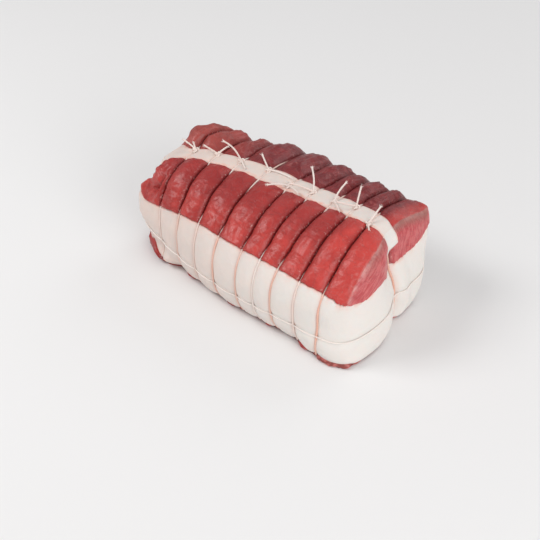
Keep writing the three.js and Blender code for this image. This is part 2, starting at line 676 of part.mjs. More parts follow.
// The lengthwise twine: under the strip, down the cleft at both ends and back under the meat
function lengthwiseTwineGeometry() {
  const path = [];
  const firstLoop = ALONG.findIndex(({ loop }) => loop === 0);
  const lastLoop = ALONG.findIndex(({ loop }) => loop === LOOP_X.length - 1);
  const isStation = ({ loop }, index) => index < firstLoop || index > lastLoop
    || (loop >= 0 && loop === ALONG[index - 1].loop);
  const stations = ALONG.filter(isStation).map(({ a }) => a);
  const endRows = [ROWS.upperSide, ROWS.overBand, ROWS.bandMiddle, ROWS.notchTop, ROWS.notchBottom,
    ROWS.bandBottom, ROWS.underBand, ROWS.bottom];
  const addSpot = (a, row) => {
    const spot = spotAt(a, 0, row, Math.abs(a) === 1 && row !== ROWS.top ? 1 : 0);
    path.push(twinePoint(spot, centreDepth(spot)));
  };
  for (const a of stations) addSpot(a, ROWS.top);
  for (const row of endRows) addSpot(1, row);
  for (const a of [...stations].reverse().slice(1, -1)) addSpot(a, ROWS.bottom);
  for (const row of [...endRows].reverse()) addSpot(-1, row);
  return closedTube(path);
}

const meat = new THREE.MeshStandardMaterial({ color: 0xa8403f, roughness: 0.35, metalness: 0 });
const fat = new THREE.MeshStandardMaterial({ color: 0xe8dfda, roughness: 0.45, metalness: 0 });
const twine = new THREE.MeshStandardMaterial({ color: 0xf0e2da, roughness: 0.8, metalness: 0 });

const roast = new THREE.Group();

function addPiece(name, geometry, material) {
  geometry.translate(-BOX_MIDDLE_X, -BOX_MIDDLE_Y, 0);
  geometry.computeVertexNormals();
  const mesh = new THREE.Mesh(geometry, material);
  mesh.name = name;
  roast.add(mesh);
}

addPiece('beef', meatGeometry(), meat);
addPiece('barding_band', bandGeometry(), fat);
addPiece('barding_strip', stripGeometry(), fat);
addPiece('twine_band', bandTwineGeometry(), twine);
addPiece('twine_lengthwise', lengthwiseTwineGeometry(), twine);
for (let loop = 0; loop < LOOP_X.length; loop += 1) {
  addPiece(`twine_loop_${loop + 1}`, loopGeometry(loop), twine);
}

export default roast;
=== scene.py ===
"""A tied roast of raw beef: two long lobes of meat, barding fat round and over them, and twine.

Lengths inside the classes are millimetres, as on a butcher's bench, and become metres where a mesh is made.
X runs along the roast towards its broad cut end, -Y is its front and the origin is under its middle.
"""

import logging
import math
from dataclasses import dataclass
from enum import Enum

import bpy
import numpy as np
from mathutils import Matrix, Vector, noise


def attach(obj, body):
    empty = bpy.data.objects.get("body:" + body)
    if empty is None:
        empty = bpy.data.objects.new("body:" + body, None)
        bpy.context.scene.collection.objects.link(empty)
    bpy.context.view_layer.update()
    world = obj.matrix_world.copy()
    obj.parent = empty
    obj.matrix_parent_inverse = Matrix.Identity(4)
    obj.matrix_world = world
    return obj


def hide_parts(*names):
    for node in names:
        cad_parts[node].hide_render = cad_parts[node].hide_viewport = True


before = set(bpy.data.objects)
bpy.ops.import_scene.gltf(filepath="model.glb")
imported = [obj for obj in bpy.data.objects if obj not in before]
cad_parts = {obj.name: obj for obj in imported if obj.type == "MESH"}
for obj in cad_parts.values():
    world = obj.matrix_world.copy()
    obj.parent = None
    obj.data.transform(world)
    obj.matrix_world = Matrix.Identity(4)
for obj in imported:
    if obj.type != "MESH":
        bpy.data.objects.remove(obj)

LOG = logging.getLogger("roast")
# One millimetre, in metres.
MILLIMETRE = 0.001
# The middle of the roast's foot, on the loaf that it is laid out on. It becomes the origin.
BOX_MIDDLE = np.array([1.21, 0.88, 0.0])
# How often a search halves its range, to well under a thousandth of a millimetre.
HALVINGS = 22

Span = tuple[float, float]

# Slopes of the fibres on the cut faces of the front and the back lobe, in radians.
FIBRE_SLOPES: Span = (0.63, 1.35)
# How sharply the painted shade in a crease, or the blush along a groove, ends.
CREASE_POWER = 1.5
# Where along the roast painted light whitens the fat towards the brightly lit near end, in millimetres.
FAT_PAINTED_LIGHT_X: Span = (-80, 104)


class Slot(Enum):
    """The record's material slots."""

    MEAT = "meat"
    FAT = "fat"
    TWINE = "twine"


def ease(start: float, stop: float, at: np.ndarray) -> np.ndarray:
    """Share of the way from start to stop, with a soft start and stop.

    Args:
        start: value where the share is 0.
        stop: value where the share is 1, above or below start.
        at: values to place between them.

    Returns:
        Shares from 0 to 1.
    """
    share = np.clip((np.asarray(at, float) - start) / (stop - start), 0.0, 1.0)
    return share * share * (3.0 - 2.0 * share)


def nearness(off: np.ndarray, width: float, power: float = 2.0) -> np.ndarray:
    """How near places lie to a line that they are off by so much: 1 on it, 0 from a few widths away."""
    return np.exp(-((off / width) ** power))


def mix(low: np.ndarray, high: np.ndarray, share: np.ndarray) -> np.ndarray:
    """Blends low into high by share."""
    return low + (high - low) * share


def round_length(first: np.ndarray, second: np.ndarray, power: np.ndarray) -> np.ndarray:
    """Length of (first, second) measured round a superellipse of that power."""
    return (np.abs(first) ** power + np.abs(second) ** power) ** (1.0 / power)


def unit(vectors: np.ndarray) -> np.ndarray:
    """Scales each row to length 1."""
    length = np.linalg.norm(vectors, axis=-1, keepdims=True)
    return vectors / np.where(length > 0, length, 1.0)


def clouds(points: np.ndarray, size: tuple[float, float, float], seed: float) -> np.ndarray:
    """Smooth noise at points.

    Args:
        points: places in millimetres.
        size: width of one patch along X, Y and Z, in millimetres.
        seed: shifts the pattern, so that no two are alike.

    Returns:
        Values from about -1 to 1.
    """
    scaled = np.asarray(points, float) / np.array(size) + seed * 17.31
    return np.array([noise.noise(Vector(place)) for place in scaled])


def folds(points: np.ndarray, size: tuple[float, float, float], seed: float, warp: float) -> np.ndarray:
    """Narrow curving ridges, as a thin skin wrinkles.

    Args:
        points: places in millimetres.
        size: spacing of the ridges along X, Y and Z, in millimetres.
        seed: shifts the pattern.
        warp: how far the ridges wander, in millimetres.

    Returns:
        Values from 0 in the valleys to 1 on the ridges.
    """
    wander_width, steepness, sharpness = (9, 9, 9), 2.2, 1.5
    wander = np.stack([clouds(points, wander_width, seed + axis) for axis in (1, 2, 3)], axis=-1)
    off_ridge = np.abs(clouds(points + warp * wander, size, seed))
    return np.clip(1.0 - steepness * off_ridge, 0.0, 1.0) ** sharpness


def soften(values: np.ndarray, passes: int) -> np.ndarray:
    """Evens out a closed row of values or points by averaging neighbours.

    Args:
        values: the row, whose ends meet.
        passes: how often.

    Returns:
        The softened row.
    """
    for _ in range(passes):
        before, after = np.roll(values, 1, axis=0), np.roll(values, -1, axis=0)
        values = 0.25 * before + 0.5 * values + 0.25 * after
    return values


def lay(point: np.ndarray, normal: np.ndarray, depth: np.ndarray, floor: float = 0.0) -> np.ndarray:
    """Points sunk along their normals by depth, and never below the floor."""
    placed = point - normal * np.asarray(depth, float)[..., None]
    placed[:, 2] = np.maximum(placed[:, 2], floor)
    return placed


@dataclass(frozen=True)
class Reach:
    """A form's size, and the spans along X, Y and Z over which it grows from nothing to that size."""

    size: float
    x: Span | None = None
    y: Span | None = None
    z: Span | None = None

    def at(self, x: np.ndarray, y: np.ndarray, z: np.ndarray) -> np.ndarray:
        """How much of the form there is at each place."""
        amount = self.size
        for span, place in ((self.x, x), (self.y, y), (self.z, z)):
            if span is not None:
                amount = amount * ease(*span, place)
        return amount


@dataclass(frozen=True)
class Relief:
    """A pattern of relief: its height and patch size in millimetres, and for folds how far they wander."""

    height: float
    size: tuple[float, float, float]
    seed: float
    warp: float | None = None

    def at(self, points: np.ndarray) -> np.ndarray:
        """Heights of the pattern at points."""
        if self.warp is None:
            return self.height * clouds(points, self.size, self.seed)
        return self.height * folds(points, self.size, self.seed, self.warp)


@dataclass(frozen=True)
class Loaf:
    """The smooth body that the meat and the fat swell out to.

    It is a cube rounded to a loaf and then settled. A span along X, Y or Z gives where a form starts and
    where it is full, so (45, 88) along X grows towards the near end, and (30, 0) along Z towards the foot.
    """

    near_length: float = 101
    far_length: float = 106
    middle_height: float = 36
    top_rise: float = 45
    under_drop: float = 47.5
    front_half_width: float = 63
    back_half_width: float = 61
    front_shoulder: float = 2.15
    back_shoulder: float = 3.9
    under_shoulder: float = 2.8
    near_squareness: float = 7.5
    far_squareness: float = 4.5
    front_bow: float = 0.16
    bow_span: float = 85
    bow_limit: float = 1.2
    front_spread_y: Span = (-15, -40)
    near_foot_spread: Reach = Reach(13, x=(45, 88), z=(30, 0))
    far_lump: Reach = Reach(7, x=(-60, -72), z=(16, 5))
    far_front_tuck: Reach = Reach(10, x=(-78, -98), z=(54, 72))
    back_taper: Reach = Reach(0.32, x=(-10, -75))
    taper_loss: float = 0.3
    taper_loss_x: float = -85
    back_corner_flare: Reach = Reach(7, x=(40, 90))
    back_flare_top: float = 75
    near_foot: Reach = Reach(1, x=(70, 92), y=(58, 25), z=(40, 0))
    near_foot_sizes: Span = (8, 5)
    near_foot_change_y: Span = (-5, 15)
    back_lobe_setback: Reach = Reach(8, y=(0, 20))
    far_front_lean: Reach = Reach(21, x=(-73, -104), y=(-6, -36), z=(50, 80))
    far_back_setback: Reach = Reach(1, y=(0, 28))
    far_back_setbacks: Span = (19, 3)
    far_back_change_z: Span = (62, 77)
    far_back_start_x: float = -60
    far_tuck: tuple[float, ...] = (1, 4.5, 8, 9, 8, 4, 0)
    far_tuck_z: tuple[float, ...] = (54, 58, 62, 66, 70, 74, 77)
    far_tuck_x: Span = (-76, -97)
    far_tuck_y: Span = (-19, -31)
    far_front_drop: Reach = Reach(10, x=(-70, -98), y=(-6, -34))
    far_back_rise: Reach = Reach(13, x=(-50, -88), y=(2, 25))
    near_back_drop: Reach = Reach(5, x=(40, 90), y=(0, 50))
    near_corner_rise: Reach = Reach(6, z=(46, 64))
    near_corner: Span = (92, 53)
    near_corner_width: Span = (9, 8)
    cleft_depth_z: tuple[float, ...] = (0, 26, 36, 62, 80)
    cleft_near_depth: tuple[float, ...] = (15, 8.5, 8.5, 12, 5.4)
    cleft_far_depth: tuple[float, ...] = (5, 6, 6, 6, 0)
    cleft_reach_x: Span = (66, 98)
    cleft_width: float = 16
    cleft_back_width: Span = (14, 9)
    cleft_back_width_z: Span = (60, 30)
    cleft_foot: Reach = Reach(12, x=(60, 92), z=(55, 10))
    cleft_foot_base_z: Span = (-14, 12)
    strip_flare: Reach = Reach(1, x=(-78, -97), z=(40, 70))
    strip_flare_front: float = 9
    strip_flare_back: float = 13
    strip_flare_y: Span = (55, 7)
    probe: float = 0.2
    loop_x: tuple[float, ...] = (-75, -58, -39, -17, 5, 23, 41, 56, 73)
    loop_front_slide: tuple[float, ...] = (3, 7, 8, 6, 6, 3.5, 0, 4, 6)
    loop_back_slide: tuple[float, ...] = (1, 0.5, -8, -2, 1, 5, -1, 3, -2)
    slide_fade: float = 20
    cleft_x: tuple[float, ...] = (-95, -80, -66, -39, -4, 26, 51, 71, 84, 95)
    cleft_y: tuple[float, ...] = (-22, -15, -7.5, -0.5, 5, 8, 11, 13, 12, 10)

    def rounded(self, cube: np.ndarray) -> tuple[np.ndarray, np.ndarray]:
        """Rounds places on a cube's surface to the loaf.

        Args:
            cube: rows of (a, b, c), each from -1 to 1.

        Returns:
            The points, and the directions that face outwards there.
        """
        a, b, c = cube.T
        length = np.where(a < 0, self.far_length, self.near_length)
        width = np.where(b < 0, self.front_half_width, self.back_half_width)
        height = np.where(c < 0, self.under_drop, self.top_rise)
        top_shoulder = mix(self.front_shoulder, self.back_shoulder, (np.clip(b, -1, 1) + 1) / 2)
        shoulder = np.where(c < 0, self.under_shoulder, top_shoulder)
        end_power = np.where(a < 0, self.far_squareness, self.near_squareness)
        reach = np.maximum(np.abs(b), np.abs(c))
        girth = round_length(b, c, shoulder)
        squeeze = np.where(girth > 0, reach / np.maximum(girth, 1e-9), 1.0)
        ring = round_length(a, reach, end_power)
        shares = np.stack([a, b * squeeze, c * squeeze], axis=-1) / ring[:, None]
        section = round_length(shares[:, 1], shares[:, 2], shoulder)
        pull = np.maximum(section, 1e-6) ** (end_power - shoulder)
        outward = unit(np.stack([
            np.sign(shares[:, 0]) * np.abs(shares[:, 0]) ** (end_power - 1) / length,
            np.sign(shares[:, 1]) * np.abs(shares[:, 1]) ** (shoulder - 1) * pull / width,
            np.sign(shares[:, 2]) * np.abs(shares[:, 2]) ** (shoulder - 1) * pull / height,
        ], axis=-1))
        point = np.stack([
            length * shares[:, 0], width * shares[:, 1], self.middle_height + height * shares[:, 2],
        ], axis=-1)
        under = point[:, 2] <= 0
        point[under, 2] = 0
        outward[under] = (0, 0, -1)
        return point, outward

    def slide(self, x: np.ndarray, across: np.ndarray) -> np.ndarray:
        """How far a loop has slid along, growing from the top towards the front and the back."""
        front = np.interp(x, self.loop_x, self.loop_front_slide)
        back = np.interp(x, self.loop_x, self.loop_back_slide)
        hold = np.clip((self.near_length - np.abs(x)) / self.slide_fade, 0, 1)
        return np.where(across < 0, front, back) * np.abs(across) * hold

    def front_y(self, x: np.ndarray, y: np.ndarray, z: np.ndarray) -> np.ndarray:
        """The front bows out in the middle, with a spread foot near the cut end and a lump far off."""
        bow = self.front_bow * np.minimum(np.abs(x) / self.bow_span, self.bow_limit) ** 2
        spread = self.near_foot_spread.at(x, y, z) + self.far_lump.at(x, y, z)
        spread = spread - self.far_front_tuck.at(x, y, z)
        return y * (1 - bow) - spread * ease(*self.front_spread_y, y)

    def back_y(self, x: np.ndarray, y: np.ndarray, z: np.ndarray) -> np.ndarray:
        """The back narrows towards the far end and flares at the top corner of the cut end."""
        loss = self.taper_loss * ease(self.taper_loss_x, -self.far_length, x)
        taper = self.back_taper.at(x, y, z) * (1 - loss)
        flare = self.back_corner_flare.at(x, y, z) * ease(self.middle_height, self.back_flare_top, z)
        return y * (1 - taper) + flare * ease(0, self.back_half_width, y)

    def end_shift(self, x: np.ndarray, y: np.ndarray, z: np.ndarray) -> np.ndarray:
        """The near end stands on a broad foot, and the far one leans back at its front."""
        foot = mix(*self.near_foot_sizes, ease(*self.near_foot_change_y, y)) * self.near_foot.at(x, y, z)
        setback = self.back_lobe_setback.at(x, y, z) * (x / self.near_length) ** 2
        upright = mix(*self.far_back_setbacks, ease(*self.far_back_change_z, z))
        upright = upright * ease(self.far_back_start_x, -self.far_length, x)
        upright = upright * self.far_back_setback.at(x, y, z)
        return np.where(x > 0, foot - setback, self.far_front_lean.at(x, y, z) + upright)

    def cleft_cut(self, x: np.ndarray, y: np.ndarray, z: np.ndarray) -> np.ndarray:
        """How far the cleft between the lobes cuts into an end."""
        narrow = mix(*self.cleft_back_width, ease(*self.cleft_back_width_z, z))
        width = np.where((x > 0) & (y > 0), narrow, self.cleft_width)
        near = np.interp(z, self.cleft_depth_z, self.cleft_near_depth)
        far = np.interp(z, self.cleft_depth_z, self.cleft_far_depth)
        depth = np.where(x < 0, far, near)
        return depth * nearness(y, width) * ease(*self.cleft_reach_x, np.abs(x))

    def cleft_line(self, x: np.ndarray) -> np.ndarray:
        """Where the cleft lies across the top, for places along it."""
        return np.interp(x, self.cleft_x, self.cleft_y)

    def cleft_shift(self, x: np.ndarray, y: np.ndarray, z: np.ndarray) -> np.ndarray:
        """How far the meat is shifted sideways to follow the cleft, and to part under the strip's far end."""
        across = np.clip(y / np.where(y < 0, self.front_half_width, self.back_half_width), -1, 1)
        line = self.cleft_line(x) * np.clip(z / self.middle_height, 0, 1)
        foot = self.cleft_foot.at(x, y, z) * ease(*self.cleft_foot_base_z, z)
        flare = np.where(y < 0, self.strip_flare_front, self.strip_flare_back) * self.strip_flare.at(x, y, z)
        beside = np.clip(y / self.strip_flare_y[1], -1, 1) * ease(*self.strip_flare_y, np.abs(y))
        return (line + foot) * (1 - across**2) + flare * beside

    def height(self, x: np.ndarray, y: np.ndarray, z: np.ndarray) -> np.ndarray:
        """Heights with the far back raised, two corners lowered and the near one drawn to a point."""
        lift = self.far_back_rise.at(x, y, z) - self.near_back_drop.at(x, y, z)
        lift = lift - self.far_front_drop.at(x, y, z)
        off_x = (x - self.near_corner[0]) / self.near_corner_width[0]
        off_y = (y - self.near_corner[1]) / self.near_corner_width[1]
        peak = self.near_corner_rise.at(x, y, z) * np.exp(-(off_x**2) - off_y**2)
        return z + lift * z / (self.middle_height + self.top_rise) + peak

    def settle(self, points: np.ndarray) -> np.ndarray:
        """Bows the sides, shapes the ends, lays the cleft on its line and slides the loops along.

        Args:
            points: points of the rounded cube.

        Returns:
            The same points where they lie on the roast.
        """
        x, y, z = points.T
        across = np.clip(y / np.where(y < 0, self.front_half_width, self.back_half_width), -1, 1)
        sideways = np.where(y < 0, self.front_y(x, y, z), self.back_y(x, y, z)) + self.cleft_shift(x, y, z)
        height = self.height(x, y, z)
        tuck = np.interp(height, self.far_tuck_z, self.far_tuck) * ease(*self.far_tuck_x, x)
        along = x + self.slide(x, across) + self.end_shift(x, y, z) - np.sign(x) * self.cleft_cut(x, y, z)
        along = along + tuck * ease(*self.far_tuck_y, sideways)
        return np.stack([along, sideways, height], axis=-1)

    def surface(self, cube: np.ndarray) -> tuple[np.ndarray, np.ndarray]:
        """The loaf's surface at places on the cube.

        Args:
            cube: rows of (a, b, c).

        Returns:
            The points, and the true normals after settling.
        """
        point, outward = self.rounded(cube)
        settled = self.settle(point)
        steep = np.abs(outward[:, 2]) < 0.8
        helper = np.where(steep[:, None], np.array([0.0, 0.0, 1.0]), np.array([1.0, 0.0, 0.0]))
        first = unit(np.cross(helper, outward))
        second = np.cross(outward, first)
        first_step = self.settle(point + first * self.probe) - settled
        second_step = self.settle(point + second * self.probe) - settled
        return settled, unit(np.cross(first_step, second_step))

    def cube_height(self, a: np.ndarray, b: np.ndarray, z: np.ndarray) -> np.ndarray:
        """The cube height at which the side at (a, b) stands z above the table."""
        low, high = np.full(len(a), -1.0), np.full(len(a), 1.0)
        for _ in range(HALVINGS):
            middle = (low + high) / 2
            point, _normal = self.rounded(np.stack([a, b, middle], axis=-1))
            below = self.settle(point)[:, 2] < z
            low, high = np.where(below, middle, low), np.where(below, high, middle)
        return (low + high) / 2

    def along(self, x: np.ndarray) -> np.ndarray:
        """The cube's a at which the loaf's middle stands at x, from edge to edge."""
        power = np.where(x < 0, self.far_squareness, self.near_squareness)
        share = np.abs(x) / np.where(x < 0, self.far_length, self.near_length)
        share = np.minimum(share, 2 ** (-1 / power))
        return np.clip(np.sign(x) * share / (1 - share**power) ** (1 / power), -1, 1)


@dataclass(frozen=True)
class Binding:
    """Depths that the twine pulls in, and where the fat lies.

    Depths are measured inwards from the loaf. The band's edges are heights at places along its front, its
    two ends and its back. The strip's half width is a share of the back lobe's.
    """

    loop_depth: float = 3.4
    meat_extra_depth: float = 1.8
    under_depth: float = 2
    band_thickness: float = 2.6
    band_gap: float = 1.0
    band_swell: float = 2.4
    band_x: tuple[float, ...] = (-95, -79, -63, -45, -26, 0, 28, 53, 77, 87, 93)
    band_top_front: tuple[float, ...] = (46, 51, 55.5, 59, 60.5, 60, 59.7, 58, 56, 53.5, 50)
    band_near_y: tuple[float, ...] = (-50, -41, -28, -19, -8, 0, 8, 16, 33, 45, 55)
    band_top_near: tuple[float, ...] = (49, 49.8, 48, 52, 53.5, 48, 50, 48.5, 50, 53, 60)
    band_far_y: tuple[float, ...] = (-50, -41, -33, -22, 0, 45)
    band_top_far: tuple[float, ...] = (47.5, 51, 57, 57.5, 53, 52)
    band_back_x: tuple[float, ...] = (55, 92)
    band_top_back: tuple[float, ...] = (52, 60)
    band_bottom: float = 4
    band_bottom_x: tuple[float, ...] = (-98, -88, -80, -68)
    band_bottom_front: tuple[float, ...] = (8, 13, 10.5, 4)
    band_bottom_far_y: tuple[float, ...] = (-42, -25)
    band_bottom_far: tuple[float, ...] = (9, 4)
    band_twine_height: float = 21
    band_bulges: tuple[Relief, ...] = (Relief(0.5, (22, 22, 18), 34.0), Relief(0.22, (8, 8, 8), 35.0))
    band_swell_power: float = 0.6
    band_cleft_depth: float = 2.2
    band_cleft_width: float = 2.4
    twine_above_hem: float = 6
    notch_depth: float = 0.9
    notch_width: float = 2.6
    strip_half_width: float = 0.115
    strip_thickness: float = 2
    strip_swell: float = 1.8
    strip_end_height: float = 64.5
    strip_cut_slant: float = 1.5
    twine_radius: float = 0.7
    knot_offset: tuple[float, ...] = (6, 4, 3, 4, -4, 0, -1, 3, -7)

    def band_edges(self, loaf: Loaf, a: np.ndarray, b: np.ndarray) -> tuple[np.ndarray, np.ndarray]:
        """Heights of the band's two edges.

        Args:
            loaf: the body that the band lies on.
            a: places along the cube.
            b: places across the cube.

        Returns:
            The heights of the top and the bottom edge.
        """
        spot, _normal = loaf.surface(np.stack([a, b, np.zeros_like(a)], axis=-1))
        x, y = spot[:, 0], spot[:, 1]
        top = np.interp(x, self.band_back_x, self.band_top_back)
        top = np.where((np.abs(a) < 1) & (b < 0), np.interp(x, self.band_x, self.band_top_front), top)
        top = np.where(a >= 1, np.interp(y, self.band_near_y, self.band_top_near), top)
        top = np.where(a <= -1, np.interp(y, self.band_far_y, self.band_top_far), top)
        front = np.interp(x, self.band_bottom_x, self.band_bottom_front)
        bottom = np.where((np.abs(a) < 1) & (b < 0), front, self.band_bottom)
        bottom = np.where(a <= -1, np.interp(y, self.band_bottom_far_y, self.band_bottom_far), bottom)
        return top, bottom

    def band_cleft(self, loaf: Loaf, cube: np.ndarray) -> np.ndarray:
        """How far the band follows the cleft in at an end: 1 in its middle, 0 away from it."""
        wide = np.abs(cube[:, 1]) * loaf.back_half_width
        return nearness(wide, self.band_cleft_width) * (np.abs(cube[:, 0]) >= 1)

    def band_depth(self, loaf: Loaf, cube: np.ndarray, point: np.ndarray, swell: np.ndarray) -> np.ndarray:
        """Depth of the band's outer face below the loaf, apart from its notch."""
        bulges = sum(bulge.at(point) for bulge in self.band_bulges)
        cleft = self.band_cleft_depth * self.band_cleft(loaf, cube)
        return self.loop_depth - self.band_swell * swell + cleft - bulges

    def twine_height(self, bottom: np.ndarray) -> np.ndarray:
        """Height of the twine round the band, which keeps above the band's lower edge."""
        return np.maximum(self.band_twine_height, bottom + self.twine_above_hem)

    def notch(self, off_twine: np.ndarray) -> np.ndarray:
        """Depth of the band's notch at distances above or below its twine."""
        return self.notch_depth * nearness(off_twine, self.notch_width)

    def strip_end(self, sign: np.ndarray, b: np.ndarray, reach: float) -> np.ndarray:
        """Height of the strip's slanting cut end, sign being -1 at the far end and 1 at the near one."""
        slant = self.strip_cut_slant * sign * np.clip(b / self.strip_half_width, -reach, reach)
        return self.strip_end_height + slant


@dataclass
class Lines:
    """The fine lines that every piece is laid out on: along the roast and across it."""

    loaf: Loaf
    binding: Binding
    spacing: float = 0.88
    fewest: int = 6
    crowding: float = 0.55
    strip_edge: float = 0.026
    counts_across: tuple[int, ...] = (38, 4, 4, 6)

    def __post_init__(self) -> None:
        """Places the lines, closer together near each loop of twine and at the strip's edges."""
        loaf = self.loaf
        far_edge = loaf.far_length * 2 ** (-1 / loaf.far_squareness)
        near_edge = loaf.near_length * 2 ** (-1 / loaf.near_squareness)
        stops = [-far_edge, *loaf.loop_x, near_edge]
        last = len(stops) - 2
        x, share, gap = [], [], []
        for index, (start, stop) in enumerate(zip(stops, stops[1:])):
            count = max(self.fewest, round((stop - start) / self.spacing))
            step = np.arange(count + (index == last)) / count
            eased = (1 - self.crowding) * step + self.crowding * (1 - np.cos(np.pi * step)) / 2
            x.append(start + (stop - start) * eased)
            share.append(eased)
            gap.append(np.full(len(eased), index))
        self.x = np.concatenate(x)
        self.share = np.concatenate(share)
        gap = np.concatenate(gap)
        self.open_end = ((gap == 0) & (self.share < 0.5)) | ((gap == last) & (self.share > 0.5))
        self.a = loaf.along(self.x)
        self.a[0], self.a[-1] = -1.0, 1.0
        self.loop_gap = np.abs(self.x[:, None] - np.array(loaf.loop_x)[None, :]).min(axis=1)
        strip = self.binding.strip_half_width
        edges = (1.0, strip + self.strip_edge, strip, strip - self.strip_edge, 0)
        runs = [np.linspace(start, stop, count)[1:]
                for start, stop, count in zip(edges, edges[1:], self.counts_across)]
        sides = np.concatenate([[1.0], *runs])
        self.b = np.concatenate([-sides, sides[:-1][::-1]])

    def swell(self, power: float) -> np.ndarray:
        """How full each line is, from 0 at a loop to 1 midway, and full out to both ends."""
        full = (4 * self.share * (1 - self.share)) ** power
        return np.where(self.open_end, 1.0, full)

    def circuit(self) -> tuple[np.ndarray, np.ndarray]:
        """Line numbers once round the sides and ends, anticlockwise from above."""
        nx, nb = len(self.a) - 1, len(self.b) - 1
        i = np.concatenate([np.arange(nx), np.full(nb, nx), np.arange(nx, 0, -1), np.zeros(nb, int)])
        j = np.concatenate([np.zeros(nx, int), np.arange(nb), np.full(nx, nb), np.arange(nb, 0, -1)])
        return i, j


@dataclass(frozen=True)
class Layout:
    """What each piece is laid out on."""

    loaf: Loaf
    binding: Binding
    lines: Lines


def link_object(name: str, content: bpy.types.ID) -> bpy.types.Object:
    """Puts an object that shows a mesh, a light or a camera in the scene."""
    made = bpy.data.objects.new(name, content)
    bpy.context.scene.collection.objects.link(made)
    return made


def make_object(name: str, points: np.ndarray, faces: list[tuple[int, ...]], marks: dict[str, np.ndarray],
                edges: list[tuple[int, int]] | None = None) -> bpy.types.Object:
    """Makes a smooth shaded mesh object.

    Args:
        name: the object's name.
        points: vertices in millimetres, with the loaf's own middle.
        faces: vertex numbers of each face.
        marks: values per vertex that the material or the twine's tree reads, by name.
        edges: vertex numbers of loose edges.

    Returns:
        The object, at the origin, with its place in its mesh.
    """
    mesh = bpy.data.meshes.new(name)
    mesh.from_pydata(((points - BOX_MIDDLE) * MILLIMETRE).tolist(), edges or [], faces)
    for mark, values in marks.items():
        layer = mesh.attributes.new(mark, "FLOAT", "POINT")
        layer.data.foreach_set("value", np.asarray(values, np.float32))
    mesh.shade_smooth()
    mesh.update()
    return link_object(name, mesh)


def ring_faces(stations: int, size: int, closed: bool) -> list[tuple[int, ...]]:
    """Faces of a tube whose rings have size points each.

    Args:
        stations: number of rings.
        size: points in each ring.
        closed: whether the last ring joins the first.

    Returns:
        The faces, which look outwards for rings that turn clockwise seen from behind.
    """
    station = np.arange(stations if closed else stations - 1)[:, None]
    side = np.arange(size)[None, :]
    here, after = station * size, ((station + 1) % stations) * size
    up = (side + 1) % size
    return np.stack([here + side, after + side, after + up, here + up], axis=-1).reshape(-1, 4).tolist()


def grid_faces(numbers: np.ndarray) -> list[list[int]]:
    """Faces of a grid of vertex numbers."""
    corners = [numbers[:-1, :-1], numbers[:-1, 1:], numbers[1:, 1:], numbers[1:, :-1]]
    return np.stack(corners, axis=-1).reshape(-1, 4).tolist()


@dataclass(frozen=True)
class Rims(Layout):
    """The ragged edges of the band; the lower one is drawn up at each loop."""

    softening: int = 10
    top_swell: float = 0.5
    top_level: float = 0.6
    top_waves: Relief = Relief(0.35, (6, 6, 6), 31.0)
    top_rags: Relief = Relief(1.0, (1.8, 1.8, 1.8), 32.0)
    rag_heights: Span = (0.25, 1.2)
    near_rags_x: Span = (60, 90)
    frill: Reach = Reach(0.6, x=(76, 82), y=(-36, -46))
    least_draw: float = 0.8
    draw: float = 2.4
    draw_waves: Relief = Relief(0.5, (7, 7, 7), 33.0)
    low_hem: Span = (9, 4)
    # Slivers of meat under the front's lower edge: where along the roast, how wide and how high.
    slivers: tuple[tuple[float, float, float], ...] = (
        (-43.0, 4.5, 3.4), (-1.0, 4.0, 2.6), (33.0, 3.0, 2.0), (66.0, 4.5, 3.0))

    def heights(self) -> tuple[np.ndarray, np.ndarray]:
        """Heights of the two edges round the roast.

        Returns:
            Heights of the top edge and of the lower edge, one for each place of the circuit.
        """
        ring_i, ring_j = self.lines.circuit()
        a, b = self.lines.a[ring_i], self.lines.b[ring_j]
        edges = self.binding.band_edges(self.loaf, a, b)
        top, bottom = (soften(edge, self.softening) for edge in edges)
        swell = np.where(np.abs(a) >= 1, 1.0, self.lines.swell(self.binding.band_swell_power)[ring_i])
        spot, _normal = self.loaf.surface(np.stack([a, b, np.zeros_like(a)], axis=-1))
        spot[:, 2] = 0
        ragged = mix(*self.rag_heights, ease(*self.near_rags_x, spot[:, 0]))
        top = top + self.top_swell * (swell - self.top_level) + self.top_waves.at(spot)
        top = top + ragged * self.top_rags.at(spot)
        drawn = self.least_draw + self.draw * swell * (1 - self.frill.at(*spot.T)) - self.draw_waves.at(spot)
        for place, width, rise in self.slivers:
            drawn = drawn - rise * nearness(spot[:, 0] - place, width) * (b <= -1)
        return top, bottom - drawn * ease(*self.low_hem, bottom)


@dataclass(frozen=True)
class Spots:
    """Places on the meat, and what its shape and its finish depend on there.

    Station is the line along the roast that a place lies on, over the share of the way from the band's top
    to the roast's top edge, top and hem the heights of the band's edges, and back is 1 on the back lobe.
    """

    cube: np.ndarray
    point: np.ndarray
    station: np.ndarray
    over: np.ndarray
    top: np.ndarray
    hem: np.ndarray
    back: np.ndarray

    @property
    def end(self) -> np.ndarray:
        """Whether each place is on one of the two end faces."""
        return np.abs(self.cube[:, 0]) >= 1

    @property
    def side(self) -> np.ndarray:
        """Whether each place is on a side or an end."""
        return np.maximum(np.abs(self.cube[:, 0]), np.abs(self.cube[:, 1])) >= 1


